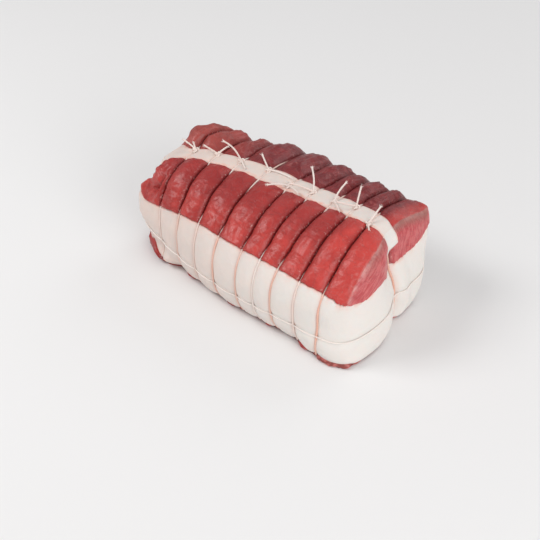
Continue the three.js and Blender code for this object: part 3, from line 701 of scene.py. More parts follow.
@dataclass(frozen=True)
class Beef(Layout):
    """The two lobes of meat, with creases under the twine, folds of skin and two cut ends."""

    # Rows of faces from the foot up, closer together at the band's two edges.
    rows: tuple[int, ...] = (4, 3, 4, 6, 36)
    rows_off_hem: Span = (-0.5, 1.5)
    rows_off_top: Span = (-2.4, 1.0)
    lobe_change: Span = (-3, 6)
    # How full the meat is between two loops.
    front_swell_power: float = 0.42
    back_swell_power: float = 0.62
    under_swell_power: float = 0.25
    lump_x: Span = (-66, -74)
    lump_off_hem: Span = (0.8, -0.8)
    lump_fullness: float = 0.85
    # Creases under the twine, the strip and the band.
    over_top_share: float = 1.25
    over_top_start: float = 0.9
    slot_depth: float = 0.9
    slot_width: float = 0.55
    slot_off_top: Span = (0, 3)
    beside_strip_depth: float = 1.2
    beside_strip_width: float = 4.5
    cleft_depth: float = 2.6
    cleft_width: float = 2.6
    cleft_z: Span = (2, 8)
    cover_edge: Span = (0.016, -0.010)
    cover_off_end: Span = (-1.0, 0.5)
    cover_slant_reach: float = 1.5
    under_strip_gap: float = 0.3
    behind_off_hem: Span = (-0.4, 0.9)
    behind_off_top: Span = (0.7, -0.9)
    # The foot below the band: drawn in where it nears the table, and ragged at the near corner.
    tuck_depth: float = 1.6
    tuck_hem: Span = (2.4, 1.2)
    tuck_off_hem: Span = (1.0, -0.2)
    frill: Reach = Reach(1, x=(76, 80), y=(-34, -44))
    frill_off_hem: Span = (0.6, -0.6)
    frill_depth: float = 0.9
    frill_tags: tuple[Relief, ...] = (Relief(1.6, (3.5, 3.5, 9), 22.0), Relief(0.9, (1.6, 1.6, 5), 23.0))
    # Relief of the skin: folds in front, knobs and ribs behind, a crinkled bulge at the far end.
    relief_z: Span = (1, 4)
    lumps: tuple[Relief, ...] = (Relief(0.9, (19, 24, 24), 1.0), Relief(0.6, (9, 12, 12), 2.0))
    skin_folds: tuple[Relief, ...] = (
        Relief(0.6, (6.5, 9, 9), 3.0, 4.0), Relief(0.36, (3.4, 5.0, 5.0), 5.0, 2.5))
    far_x: Span = (-40, -75)
    knobs: Relief = Relief(1.0, (7, 11, 9), 12.0)
    knob_heights: Span = (1.3, 1.6)
    knob_folds: Relief = Relief(0.5, (5, 10, 10), 13.0, 3.0)
    far_folds: Relief = Relief(0.9, (11, 16, 14), 15.0, 5.0)
    near_knobs_share: float = 0.45
    near_knobs_x: Span = (66, 78)
    rib_height: float = 0.36
    ribs_between_loops: float = 5
    rib_wander: Relief = Relief(0.5, (9, 20, 20), 14.0)
    ribs_off_cleft: Span = (8, 24)
    ribs_x: Span = (78, 68)
    fine_grain: Relief = Relief(0.2, (2.6, 9, 9), 8.0)
    crinkle: Reach = Reach(1, x=(-78, -88), y=(-4, -14), z=(50, 60))
    crinkle_heights: Span = (2.8, 1.4)
    crinkle_folds: Relief = Relief(1.0, (7, 8, 8), 9.0, 5.0)
    crinkle_drop: float = 1.2
    pressed_share: float = 0.3
    # Cut faces at both ends, with fibres across them and a raised rim at the near one.
    cut_from_z: float = 44
    cut_lumps_share: float = 0.4
    cut_fibres: Relief = Relief(0.13, (30, 18, 2.6), 11.0, 1.5)
    ridge: Reach = Reach(0.8, y=(-10, -20), z=(46, 54))
    rim_width: float = 1.8
    # Where the finish changes, and where painted shade, painted light and a painted highlight lie.
    crease_width: float = 0.9
    crease_shade: float = 0.4
    crease_shade_width: float = 3.0
    back_crease_share: float = 0.75
    # Painted shade on the foot below the band's lower edge, over all but the near end.
    painted_foot_shade_part: Reach = Reach(1, x=(76, 66))
    painted_foot_shade_off_hem: Span = (1.0, -1.0)
    purple_ends: tuple[tuple[float, Span], ...] = ((0.15, (-80, -22)), (0.25, (82, 73)))
    # Painted light: where along the roast the meat brightens towards the near end.
    painted_near_light_x: Span = (-90, 90)
    # Painted light: a brighter orange-red on the last bulge at the near end, faint on the back lobe.
    painted_light_red_part: Reach = Reach(1, x=(73, 80), z=(40, 50))
    painted_light_red_back_share: float = 0.1
    ragged_part: Reach = Reach(1, x=(60, 76), z=(6, 4))
    # How strong the painted highlight on the near rim is on the back lobe.
    back_rim_highlight_share: float = 0.5
    # Grey-brown below the top edge of the near cut face, and over the back lobe towards the far end.
    grey_brown_off_top: Span = (7, 1)
    grey_brown_front_y: Span = (-30, -18)
    grey_brown_front_share: float = 0.6
    grey_brown_far: Reach = Reach(0.4, x=(-25, -80))
    # Painted shade: darker crimson along the front lobe's top beside the strip, fading out towards the cut
    # end.
    painted_top_shade_part: Reach = Reach(1, x=(72, 50), z=(68, 80))

    def floor(self, spots: Spots) -> np.ndarray:
        """Depth of a crease's floor below the loaf, from the table up over the meat to the cleft."""
        binding, z = self.binding, spots.point[:, 2]
        low = mix(binding.under_depth, binding.loop_depth, ease(0, binding.band_bottom, z))
        up_and_over = 0.5 + 0.5 * (1 - np.abs(spots.cube[:, 1]))
        way = np.clip(np.where(spots.cube[:, 2] >= 1, up_and_over, 0.5 * spots.over), 0, 1)
        extra = binding.meat_extra_depth * self.over_top_share * np.sin(np.pi * way)
        return low + extra * (z > spots.top * self.over_top_start)

    def near_rim(self, cube: np.ndarray) -> np.ndarray:
        """How near places lie to the edge round the near cut face: 1 on it, 0 from a few millimetres off."""
        beside = (1 - cube[:, 0]) * self.loaf.near_length
        inside = (1 - np.max(np.abs(cube[:, 1:]), axis=1)) * self.loaf.middle_height
        return nearness(np.where(cube[:, 0] >= 1, inside, beside), self.rim_width)

    def back_skin(self, spots: Spots, share: np.ndarray) -> np.ndarray:
        """Relief of the back lobe: knobs, which grow into folds at the far end, and ribs along it.

        Args:
            spots: places on the meat.
            share: share of the way from one loop to the next.

        Returns:
            Heights in millimetres.
        """
        point, x = spots.point, spots.point[:, 0]
        far = ease(*self.far_x, x)
        knobs = mix(*self.knob_heights, far) * self.knobs.at(point) + self.knob_folds.at(point)
        knobs = knobs + far * self.far_folds.at(point)
        knobs = knobs * mix(1.0, self.near_knobs_share, ease(*self.near_knobs_x, x))
        turn = self.ribs_between_loops * share + self.rib_wander.at(point)
        off_cleft = point[:, 1] - self.loaf.cleft_line(x)
        ribs = self.rib_height * np.cos(2 * np.pi * turn) * ease(*self.ribs_off_cleft, off_cleft)
        return knobs + ribs * ease(*self.ribs_x, x) + self.fine_grain.at(point)

    def relief(self, spots: Spots, swell: np.ndarray) -> np.ndarray:
        """Unevenness of the meat: soft lumps, folds of skin, fibres and the crinkled far bulge.

        Args:
            spots: places on the meat.
            swell: how full the meat is there.

        Returns:
            Heights above the even surface.
        """
        point, end = spots.point, spots.end
        x, y, z = point.T
        lumps = sum(lump.at(point) for lump in self.lumps)
        front_skin = sum(fold.at(point) for fold in self.skin_folds)
        share = np.where(end, 0.5, self.lines.share[spots.station])
        skin = mix(front_skin, self.back_skin(spots, share), spots.back)
        crinkles = mix(*self.crinkle_heights, end) * self.crinkle_folds.at(point) - self.crinkle_drop
        wrinkled = self.crinkle.at(x, y, z) * crinkles
        slope = mix(*FIBRE_SLOPES, spots.back)
        along = y * np.cos(slope) + z * np.sin(slope)
        across = z * np.cos(slope) - y * np.sin(slope)
        fibres = self.cut_fibres.at(np.stack([x, along, across], axis=-1))
        cut = self.cut_lumps_share * lumps + fibres + wrinkled
        height = np.where(end & (z > self.cut_from_z), cut, lumps + skin + wrinkled)
        ridge = self.near_rim(spots.cube) * self.ridge.at(x, y, z)
        return height * mix(self.pressed_share, 1.0, swell) + ridge

    def swell(self, spots: Spots) -> np.ndarray:
        """How full the meat is: 0 under a loop, and 1 midway, on the ends and at the far lump."""
        front, back = (self.lines.swell(power)[spots.station]
                       for power in (self.front_swell_power, self.back_swell_power))
        swell = np.where(spots.end, 1.0, mix(front, back, spots.back))
        lump = ease(*self.lump_x, spots.point[:, 0]) * ease(*self.lump_off_hem, spots.point[:, 2] - spots.hem)
        lump = lump * spots.side * (spots.cube[:, 1] < 0)
        return mix(swell, 1.0, self.lump_fullness * lump)

    def cleft(self, spots: Spots) -> np.ndarray:
        """How far into the cleft of an end each place lies, from 0 to 1."""
        wide = np.abs(spots.cube[:, 1]) * self.loaf.back_half_width
        return nearness(wide, self.cleft_width) * spots.end * ease(*self.cleft_z, spots.point[:, 2])

    def bare_depth(self, spots: Spots, swell: np.ndarray) -> np.ndarray:
        """Depth of the meat that shows, with its creases, relief, drawn-in foot and ragged tags.

        Args:
            spots: places on the meat.
            swell: how full the meat is there.

        Returns:
            Depths below the loaf.
        """
        loaf, binding, lines = self.loaf, self.binding, self.lines
        x, y, z = spots.point.T
        end, side, station = spots.end, spots.side, spots.station
        under = np.where(end, 1.0, lines.swell(self.under_swell_power)[station])
        depth = self.floor(spots) * (1 - np.where(spots.cube[:, 2] <= -1, under, swell))
        depth = depth - self.relief(spots, swell) * ease(*self.relief_z, z) * (spots.cube[:, 2] > -1)
        slot = nearness(lines.loop_gap[station], self.slot_width) * (1 - end)
        slot = slot * ease(*self.slot_off_top, z - spots.top)
        tucked = side * ease(*self.tuck_hem, spots.hem) * ease(*self.tuck_off_hem, z - spots.hem)
        frill = self.frill.at(x, y, z) * side * ease(*self.frill_off_hem, z - spots.hem)
        tags = frill * (self.frill_depth + sum(tag.at(spots.point) for tag in self.frill_tags))
        depth = depth + self.slot_depth * slot + self.tuck_depth * tucked - tags
        off_strip = (np.abs(spots.cube[:, 1]) - binding.strip_half_width) * loaf.back_half_width
        beside = nearness(off_strip, self.beside_strip_width) * (spots.cube[:, 2] >= 1)
        return depth + self.beside_strip_depth * swell * beside + self.cleft_depth * self.cleft(spots)

    def depth(self, spots: Spots, swell: np.ndarray) -> np.ndarray:
        """Depth of the meat everywhere, sunk further where the band or the strip covers it.

        Args:
            spots: places on the meat.
            swell: how full the meat is there.

        Returns:
            Depths below the loaf.
        """
        binding, z, end = self.binding, spots.point[:, 2], spots.end
        band_swell = np.where(end, 1.0, self.lines.swell(binding.band_swell_power)[spots.station])
        under_band = binding.loop_depth - binding.band_swell * band_swell
        under_band = under_band + binding.band_thickness + binding.band_gap
        behind = ease(*self.behind_off_hem, z - spots.hem) * ease(*self.behind_off_top, z - spots.top)
        under_strip = binding.loop_depth - binding.strip_swell * swell + binding.strip_thickness
        inner, outer = (binding.strip_half_width + edge for edge in self.cover_edge)
        a, b = spots.cube[:, 0], spots.cube[:, 1]
        off_end = z - binding.strip_end(np.sign(a), b, self.cover_slant_reach)
        cover = ease(inner, outer, np.abs(b))
        cover = cover * np.where(end, ease(*self.cover_off_end, off_end), spots.cube[:, 2] >= 1)
        depth = mix(self.bare_depth(spots, swell), under_band, spots.side * behind)
        return mix(depth, under_strip + self.under_strip_gap, cover)

    def creases(self, spots: Spots) -> np.ndarray:
        """How strongly each place is painted with shade: a dark line in a crease under the twine or a cleft,
        faint beside it.
        """
        gap = self.lines.loop_gap[spots.station]
        narrow = nearness(gap, self.crease_width, CREASE_POWER)
        wide = self.crease_shade * nearness(gap, self.crease_shade_width)
        crease = np.maximum(narrow, wide) * (1 - spots.end) * mix(1.0, self.back_crease_share, spots.back)
        return np.clip(np.maximum(crease, self.cleft(spots)), 0, 1)

    def marks(self, spots: Spots) -> dict[str, np.ndarray]:
        """Values from 0 to 1 that the meat's material reads at each place."""
        x, y, z = spots.point.T
        back, side, near_cut = spots.back, spots.side, (spots.cube[:, 0] >= 1) * 1.0
        purple = back
        for least, span in self.purple_ends:
            purple = purple * mix(least, 1.0, ease(*span, x))
        off_top = (1 - np.abs(spots.cube[:, 2])) * self.loaf.middle_height
        grey_brown_rim = near_cut * ease(*self.grey_brown_off_top, off_top) * mix(self.grey_brown_front_share, 1.0, back)
        grey_brown_rim = grey_brown_rim * np.maximum(back, ease(*self.grey_brown_front_y, y))
        rim = self.near_rim(spots.cube) * ease(*self.ridge.z, z)
        painted_light_red = self.painted_light_red_part.at(x, y, z) * (1 - near_cut)
        return {
            # Painted shade in the creases and the cleft.
            "crease": self.creases(spots),
            # Painted shade on the foot below the band.
            "low": side * ease(*self.painted_foot_shade_off_hem, z - spots.hem) * self.painted_foot_shade_part.at(x, y, z),
            "back_lobe": purple,
            "cut_face": near_cut,
            # Painted light: brighter towards the near end.
            "painted_near_light": ease(*self.painted_near_light_x, x),
            # Painted light on the last bulge at the near end.
            "near_bulge": painted_light_red * mix(1.0, self.painted_light_red_back_share, back),
            "frill": side * self.ragged_part.at(x, y, z),
            # Painted highlight: a flecked pale line along the raised rim round the near cut face.
            "ridge": rim * mix(1.0, self.back_rim_highlight_share, back),
            "greyed": np.maximum(grey_brown_rim, back * self.grey_brown_far.at(x, y, z)),
            # Painted shade along the front lobe's top beside the strip.
            "painted_top_shade": self.painted_top_shade_part.at(x, y, z) * (1 - back) * (1 - near_cut),
            "side_back": back,
        }

    def build(self) -> bpy.types.Object:
        """Makes the meat's closed mesh.

        Returns:
            The beef object.
        """
        loaf, lines = self.loaf, self.lines
        ring_i, ring_j = lines.circuit()
        a, b = lines.a[ring_i], lines.b[ring_j]
        top, hem = Rims(loaf, self.binding, lines).heights()
        levels = [hem + off for off in self.rows_off_hem] + [top + off for off in self.rows_off_top]
        size = len(a)
        keys = [np.full(size, -1.0), *[loaf.cube_height(a, b, level) for level in levels], np.full(size, 1.0)]
        heights, over = [], []
        for part, (low, high, count) in enumerate(zip(keys, keys[1:], self.rows)):
            for row in range(count):
                heights.append(mix(low, high, row / count))
                over.append(row / count if part == len(self.rows) - 1 else 0.0)
        turns = len(heights)
        wall = np.stack([np.tile(a, turns), np.tile(b, turns), np.concatenate(heights)], axis=-1)
        line_i, line_j = np.meshgrid(np.arange(len(lines.a)), np.arange(len(lines.b)), indexing="ij")
        flat_i, flat_j = line_i.ravel(), line_j.ravel()
        lid = np.stack([lines.a[flat_i], lines.b[flat_j], np.ones(len(flat_i))], axis=-1)
        inner = (flat_i > 0) & (flat_i < len(lines.a) - 1) & (flat_j > 0) & (flat_j < len(lines.b) - 1)
        base_i, base_j = flat_i[inner], flat_j[inner]
        base = np.stack([lines.a[base_i], lines.b[base_j], -np.ones(len(base_i))], axis=-1)

        cube = np.concatenate([wall, lid, base])
        point, normal = loaf.surface(cube)
        off_wall = np.zeros(len(lid) + len(base))
        back = ease(*self.lobe_change, point[:, 1] - loaf.cleft_line(point[:, 0]))
        spots = Spots(
            cube=cube,
            point=point,
            station=np.concatenate([np.tile(ring_i, turns), flat_i, base_i]),
            over=np.concatenate([np.repeat(over, size), np.ones(len(lid)), np.zeros(len(base))]),
            top=np.concatenate([np.tile(top, turns), off_wall]),
            hem=np.concatenate([np.tile(hem, turns), off_wall]),
            back=back,
        )
        placed = lay(point, normal, self.depth(spots, self.swell(spots)))

        wall_number = np.arange(len(wall)).reshape(turns, size)
        lid_number = (len(wall) + np.arange(len(lid))).reshape(line_i.shape)
        base_number = np.empty(line_i.shape, int)
        base_number[ring_i, ring_j] = wall_number[0]
        base_number[base_i, base_j] = len(wall) + len(lid) + np.arange(len(base))
        rows = np.vstack([wall_number, lid_number[ring_i, ring_j]])
        rows = np.hstack([rows, rows[:, :1]])
        faces = [*grid_faces(rows), *grid_faces(lid_number.T), *grid_faces(base_number)]
        return make_object("beef_flesh", placed, faces, self.marks(spots))


@dataclass(frozen=True)
class Band(Layout):
    """The wide band of barding fat round the sides and ends."""

    outer_rows: int = 44
    lip_rows: int = 5
    inner_rows: int = 8
    near_edge_x: Span = (60, 90)
    edge_widths: Span = (1.3, 2.2)
    hem_width: float = 1.8
    groove_width: float = 1.4

    def section(self, top: np.ndarray, bottom: np.ndarray) -> tuple[np.ndarray, np.ndarray]:
        """The band's section at each place of the circuit: up outside, over, down inside and back.

        Args:
            top: heights of its top edge.
            bottom: heights of its lower edge.

        Returns:
            Heights, and how far in from the outer face they lie, a row for each place.
        """
        half = self.binding.band_thickness / 2
        turns = [math.pi * row / self.lip_rows for row in range(1, self.lip_rows)]
        outer = np.arange(self.outer_rows + 1) / self.outer_rows
        inner = np.arange(self.inner_rows + 1) / self.inner_rows
        cells = [(mix(bottom + half, top - half, share), 0.0) for share in outer]
        cells += [(top - half + half * math.sin(turn), half * (1 - math.cos(turn))) for turn in turns]
        cells += [(mix(top - half, bottom + half, share), 2 * half) for share in inner]
        cells += [(bottom + half - half * math.sin(turn), half * (1 + math.cos(turn))) for turn in turns]
        heights = np.stack([height for height, _inward in cells], axis=-1)
        return heights, np.broadcast_to([inward for _height, inward in cells], heights.shape)

    def build(self) -> bpy.types.Object:
        """Makes the band's closed ring.

        Returns:
            The band object.
        """
        loaf, binding, lines = self.loaf, self.binding, self.lines
        ring_i, ring_j = lines.circuit()
        a, b = lines.a[ring_i], lines.b[ring_j]
        top, bottom = Rims(loaf, binding, lines).heights()
        heights, inward = self.section(top, bottom)
        size = heights.shape[1]
        level = heights.ravel()
        all_a, all_b, top, bottom = (np.repeat(values, size) for values in (a, b, top, bottom))
        station = np.repeat(ring_i, size)
        cube = np.stack([all_a, all_b, loaf.cube_height(all_a, all_b, level)], axis=-1)
        point, normal = loaf.surface(cube)
        end = np.abs(all_a) >= 1
        swell = np.where(end, 1.0, lines.swell(binding.band_swell_power)[station])
        notch = binding.notch(level - binding.twine_height(bottom))
        depth = binding.band_depth(loaf, cube, point, swell) + notch + inward.ravel()
        near_twine = nearness(lines.loop_gap[station], self.groove_width, CREASE_POWER) * (1 - end)
        edge_width = mix(*self.edge_widths, ease(*self.near_edge_x, lines.x[station]))
        marks = {
            "edge": np.exp(-(top - level) / edge_width),
            "hem": np.exp(-(level - bottom) / self.hem_width),
            "groove": np.maximum(near_twine, binding.band_cleft(loaf, cube)),
            # Painted light: whiter towards the near end.
            "painted_near_light": ease(*FAT_PAINTED_LIGHT_X, point[:, 0]),
        }
        faces = ring_faces(len(a), size, True)
        return make_object("barding_band_fat", lay(point, normal, depth), faces, marks)


@dataclass(frozen=True)
class Strip(Layout):
    """The narrow strip of barding fat along the cleft, hanging a little way over both ends."""

    drape_rows: int = 12
    face_points: int = 15
    lip_points: int = 4
    lip_bulge: float = 0.13
    width_share: float = 0.95
    width_swell: float = 0.06
    swell_power: float = 0.3
    width_waves: Relief = Relief(0.04, (9, 9, 9), 41.0)
    width_nicks: Relief = Relief(0.02, (3.5, 9, 9), 42.0)
    lift: float = 0.9
    dome: float = 0.25
    unevenness: tuple[Relief, ...] = (Relief(0.35, (12, 9, 12), 43.0), Relief(0.16, (4, 4, 4), 44.0))
    proud: float = 0.7
    extra_swell: float = 0.5
    groove_width: float = 1.3
    edge_from: float = 0.75
    # Painted light on top of the strip, as a share of that where it hangs over the ends.
    top_painted_light_share: float = 0.5

    def section(self) -> tuple[np.ndarray, np.ndarray]:
        """The strip's section: across its upper face, round a lip, back underneath and round the other.

        Returns:
            Places across, from -1 to 1 and a little past for the lips, and how far in they lie.
        """
        half = self.binding.strip_thickness / 2
        across = np.linspace(-1, 1, self.face_points)
        turns = np.linspace(0, np.pi, self.lip_points + 2)[1:-1]
        bulge = self.lip_bulge
        cells = [(share, 0.0) for share in across]
        cells += [(1 + bulge * math.sin(turn), half * (1 - math.cos(turn))) for turn in turns]
        cells += [(share, 2 * half) for share in across[::-1]]
        cells += [(-1 - bulge * math.sin(turn), half * (1 + math.cos(turn))) for turn in turns]
        return np.array([share for share, _in in cells]), np.array([inward for _share, inward in cells])

    def half_widths(self) -> np.ndarray:
        """Half of the strip's width at each line, as a share of the cube's."""
        x = self.lines.x
        waves = self.width_waves.at(np.stack([x, 0 * x, 0 * x], axis=-1))
        nicks = self.width_nicks.at(np.stack([x, 0 * x + 9, 0 * x], axis=-1))
        swell = self.width_swell * self.lines.swell(self.swell_power)
        return self.binding.strip_half_width * (self.width_share + swell + waves + nicks)

    def drape(self, sign: float, share_b: np.ndarray, half_width: float) -> list[np.ndarray]:
        """The rings that hang over an end.

        Args:
            sign: -1 for the far end, 1 for the near one.
            share_b: places across the strip's section.
            half_width: half of its width there.

        Returns:
            Places on the cube for each ring, from the top downwards.
        """
        b = share_b * half_width
        a = np.full(len(b), sign)
        low = self.loaf.cube_height(a, b, self.binding.strip_end(sign, b, 1))
        return [np.stack([a, b, mix(1.0, low, row / self.drape_rows)], axis=-1)
                for row in range(1, self.drape_rows + 1)]

    def build(self) -> bpy.types.Object:
        """Makes the strip's closed mesh.

        Returns:
            The strip object.
        """
        loaf, binding, lines = self.loaf, self.binding, self.lines
        share_b, inward = self.section()
        half_width = self.half_widths()
        size = len(share_b)
        on_top = [np.stack([np.full(size, a), share_b * half, np.ones(size)], axis=-1)
                  for a, half in zip(lines.a, half_width)]
        far, near = self.drape(-1.0, share_b, half_width[0]), self.drape(1.0, share_b, half_width[-1])
        stations = [*far[::-1], *on_top, *near]
        cube = np.concatenate(stations)
        point, normal = loaf.surface(cube)
        swell = np.repeat(np.pad(lines.swell(self.swell_power), self.drape_rows, constant_values=1.0), size)
        gap = np.repeat(np.pad(lines.loop_gap, self.drape_rows, constant_values=lines.loop_gap.max()), size)
        hanging = np.arange(1, self.drape_rows + 1) / self.drape_rows
        drop = np.repeat(np.concatenate([hanging[::-1], np.zeros(len(lines.a)), hanging]), size)
        across = np.tile(share_b, len(stations))
        raised = self.dome * (1 - across**4) + self.lift * drop**2
        raised = raised + sum(relief.at(point) for relief in self.unevenness)
        depth = binding.loop_depth - self.proud - (binding.strip_swell + self.extra_swell) * swell - raised
        depth = depth + np.tile(inward, len(stations))
        faces = ring_faces(len(stations), size, False)
        last = (len(stations) - 1) * size
        faces += self.cap(list(range(size)), True) + self.cap(list(range(last, last + size)), False)
        end = np.abs(cube[:, 0]) >= 1
        marks = {
            "edge": ease(self.edge_from, 1.0, np.abs(across)),
            "hem": np.zeros(len(cube)),
            # Painted light: whiter towards the near end, fully where it hangs over the ends and half as much
            # on top.
            "painted_near_light": np.where(end, 1.0, self.top_painted_light_share) * ease(*FAT_PAINTED_LIGHT_X, point[:, 0]),
            "groove": nearness(gap, self.groove_width, CREASE_POWER),
        }
        return make_object("barding_strip_fat", lay(point, normal, depth), faces, marks)

    def cap(self, ring: list[int], first: bool) -> list[tuple[int, ...]]:
        """Closes an end of the strip with a row of faces from one side to the other.

        Args:
            ring: vertex numbers of the end's ring.
            first: whether it is the ring that the strip starts with.

        Returns:
            The faces, looking outwards.
        """
        faces = []
        low, high = 0, len(ring) - 1
        while high - low > 1:
            corners = dict.fromkeys((ring[low], ring[low + 1], ring[high - 1], ring[high]))
            face = tuple(corners)
            faces.append(face if first else face[::-1])
            low, high = low + 1, high - 1
        return faces


def feed(tree: bpy.types.NodeTree, socket: bpy.types.NodeSocket, value: object) -> None:
    """Links an input to another socket, or sets a plain value on it."""
    if isinstance(value, bpy.types.NodeSocket):
        tree.links.new(value, socket)
    else:
        socket.default_value = value


def add_node(tree: bpy.types.NodeTree, kind: str, links: dict[str | int, object] | None = None,
             **settings: object) -> bpy.types.Node:
    """Adds a node with its settings and links.

    Args:
        tree: the tree it goes in.
        kind: the node's type.
        links: for each input, by name or number, a socket to link or a value to set.
        **settings: properties of the node itself.

    Returns:
        The node.
    """
    node = tree.nodes.new(kind)
    for name, value in settings.items():
        setattr(node, name, value)
    for key, value in (links or {}).items():
        feed(tree, node.inputs[key], value)
    return node


@dataclass(frozen=True)
class TwineTree:
    """Geometry nodes that lay three twisted strands along every edge line of a mesh."""

    strands: int = 3
    radius: float = 0.7
    pitch: float = 4.2
    step: float = 0.42
    sides: int = 15
    strand_depth: float = 0.17

    def build(self) -> bpy.types.NodeTree:
        """Makes the node tree.

        Returns:
            The tree, with named inputs for the twine's sizes and its finish.
        """
        tree = bpy.data.node_groups.new("Twist twine along lines", "GeometryNodeTree")
        face = tree.interface
        face.new_socket("Geometry", in_out="INPUT", socket_type="NodeSocketGeometry")
        for name, value in (("Radius", self.radius * MILLIMETRE), ("Pitch", self.pitch * MILLIMETRE),
                            ("Step", self.step * MILLIMETRE), ("Strand depth", self.strand_depth)):
            face.new_socket(name, in_out="INPUT", socket_type="NodeSocketFloat").default_value = value
        face.new_socket("Finish", in_out="INPUT", socket_type="NodeSocketMaterial")
        face.new_socket("Geometry", in_out="OUTPUT", socket_type="NodeSocketGeometry")
        source = add_node(tree, "NodeGroupInput")
        line = add_node(tree, "GeometryNodeMeshToCurve", {"Mesh": source.outputs["Geometry"]})
        even = add_node(tree, "GeometryNodeResampleCurve",
                        {"Curve": line.outputs[0], "Length": source.outputs["Step"]}, mode="LENGTH")
        run = add_node(tree, "GeometryNodeSplineParameter")
        turns = add_node(tree, "ShaderNodeMath", {0: run.outputs["Length"], 1: source.outputs["Pitch"]},
                         operation="DIVIDE")
        angle = add_node(tree, "ShaderNodeMath", {0: turns.outputs[0], 1: 2 * math.pi}, operation="MULTIPLY")
        tilt = add_node(tree, "GeometryNodeSetCurveTilt",
                        {"Curve": even.outputs[0], "Tilt": angle.outputs[0]})
        thick = add_node(tree, "GeometryNodeInputNamedAttribute", {"Name": "thickness"}, data_type="FLOAT")
        radius = add_node(tree, "GeometryNodeSetCurveRadius",
                          {"Curve": tilt.outputs[0], "Radius": thick.outputs["Attribute"]})
        ring = add_node(tree, "GeometryNodeCurvePrimitiveCircle",
                        {"Resolution": self.sides, "Radius": source.outputs["Radius"]})
        lobe_run = add_node(tree, "GeometryNodeSplineParameter")
        lobe_angle = add_node(tree, "ShaderNodeMath",
                              {0: lobe_run.outputs["Factor"], 1: 2 * math.pi * self.strands},
                              operation="MULTIPLY")
        wave = add_node(tree, "ShaderNodeMath", {0: lobe_angle.outputs[0]}, operation="COSINE")
        swing = add_node(tree, "ShaderNodeMath",
                         {0: wave.outputs[0], 1: source.outputs["Strand depth"], 2: 1.0},
                         operation="MULTIPLY_ADD")
        place = add_node(tree, "GeometryNodeInputPosition")
        lobed = add_node(tree, "ShaderNodeVectorMath", {0: place.outputs[0], "Scale": swing.outputs[0]},
                         operation="SCALE")
        profile = add_node(tree, "GeometryNodeSetPosition",
                           {"Geometry": ring.outputs[0], "Position": lobed.outputs[0]})
        sweep = add_node(tree, "GeometryNodeCurveToMesh",
                         {"Curve": radius.outputs[0], "Profile Curve": profile.outputs[0],
                          "Fill Caps": True})
        # Where the sweep has an input for its scale, the curve's radius no longer sets it.
        if "Scale" in sweep.inputs:
            tree.links.new(thick.outputs["Attribute"], sweep.inputs["Scale"])
        smooth = add_node(tree, "GeometryNodeSetShadeSmooth", {"Geometry": sweep.outputs[0]})
        real = add_node(tree, "GeometryNodeRealizeInstances", {"Geometry": smooth.outputs[0]})
        coat = add_node(tree, "GeometryNodeSetMaterial",
                        {"Geometry": real.outputs[0], "Material": source.outputs["Finish"]})
        add_node(tree, "NodeGroupOutput", {"Geometry": coat.outputs[0]})
        return tree


@dataclass(frozen=True)
class Thread:
    """A line that twine follows, with its thickness, its stains and its painted shade along it, as rows or as
    one value.
    """

    points: np.ndarray
    closed: bool
    thickness: np.ndarray | float
    stain: np.ndarray | float
    painted_sunk_shade: np.ndarray | float = 0.0


def cube_path(*parts: tuple[np.ndarray | float, ...]) -> np.ndarray:
    """Rows of (a, b, c) from parts in which a plain number stands for the whole part."""
    return np.concatenate([np.stack(np.broadcast_arrays(*part), axis=-1) for part in parts])


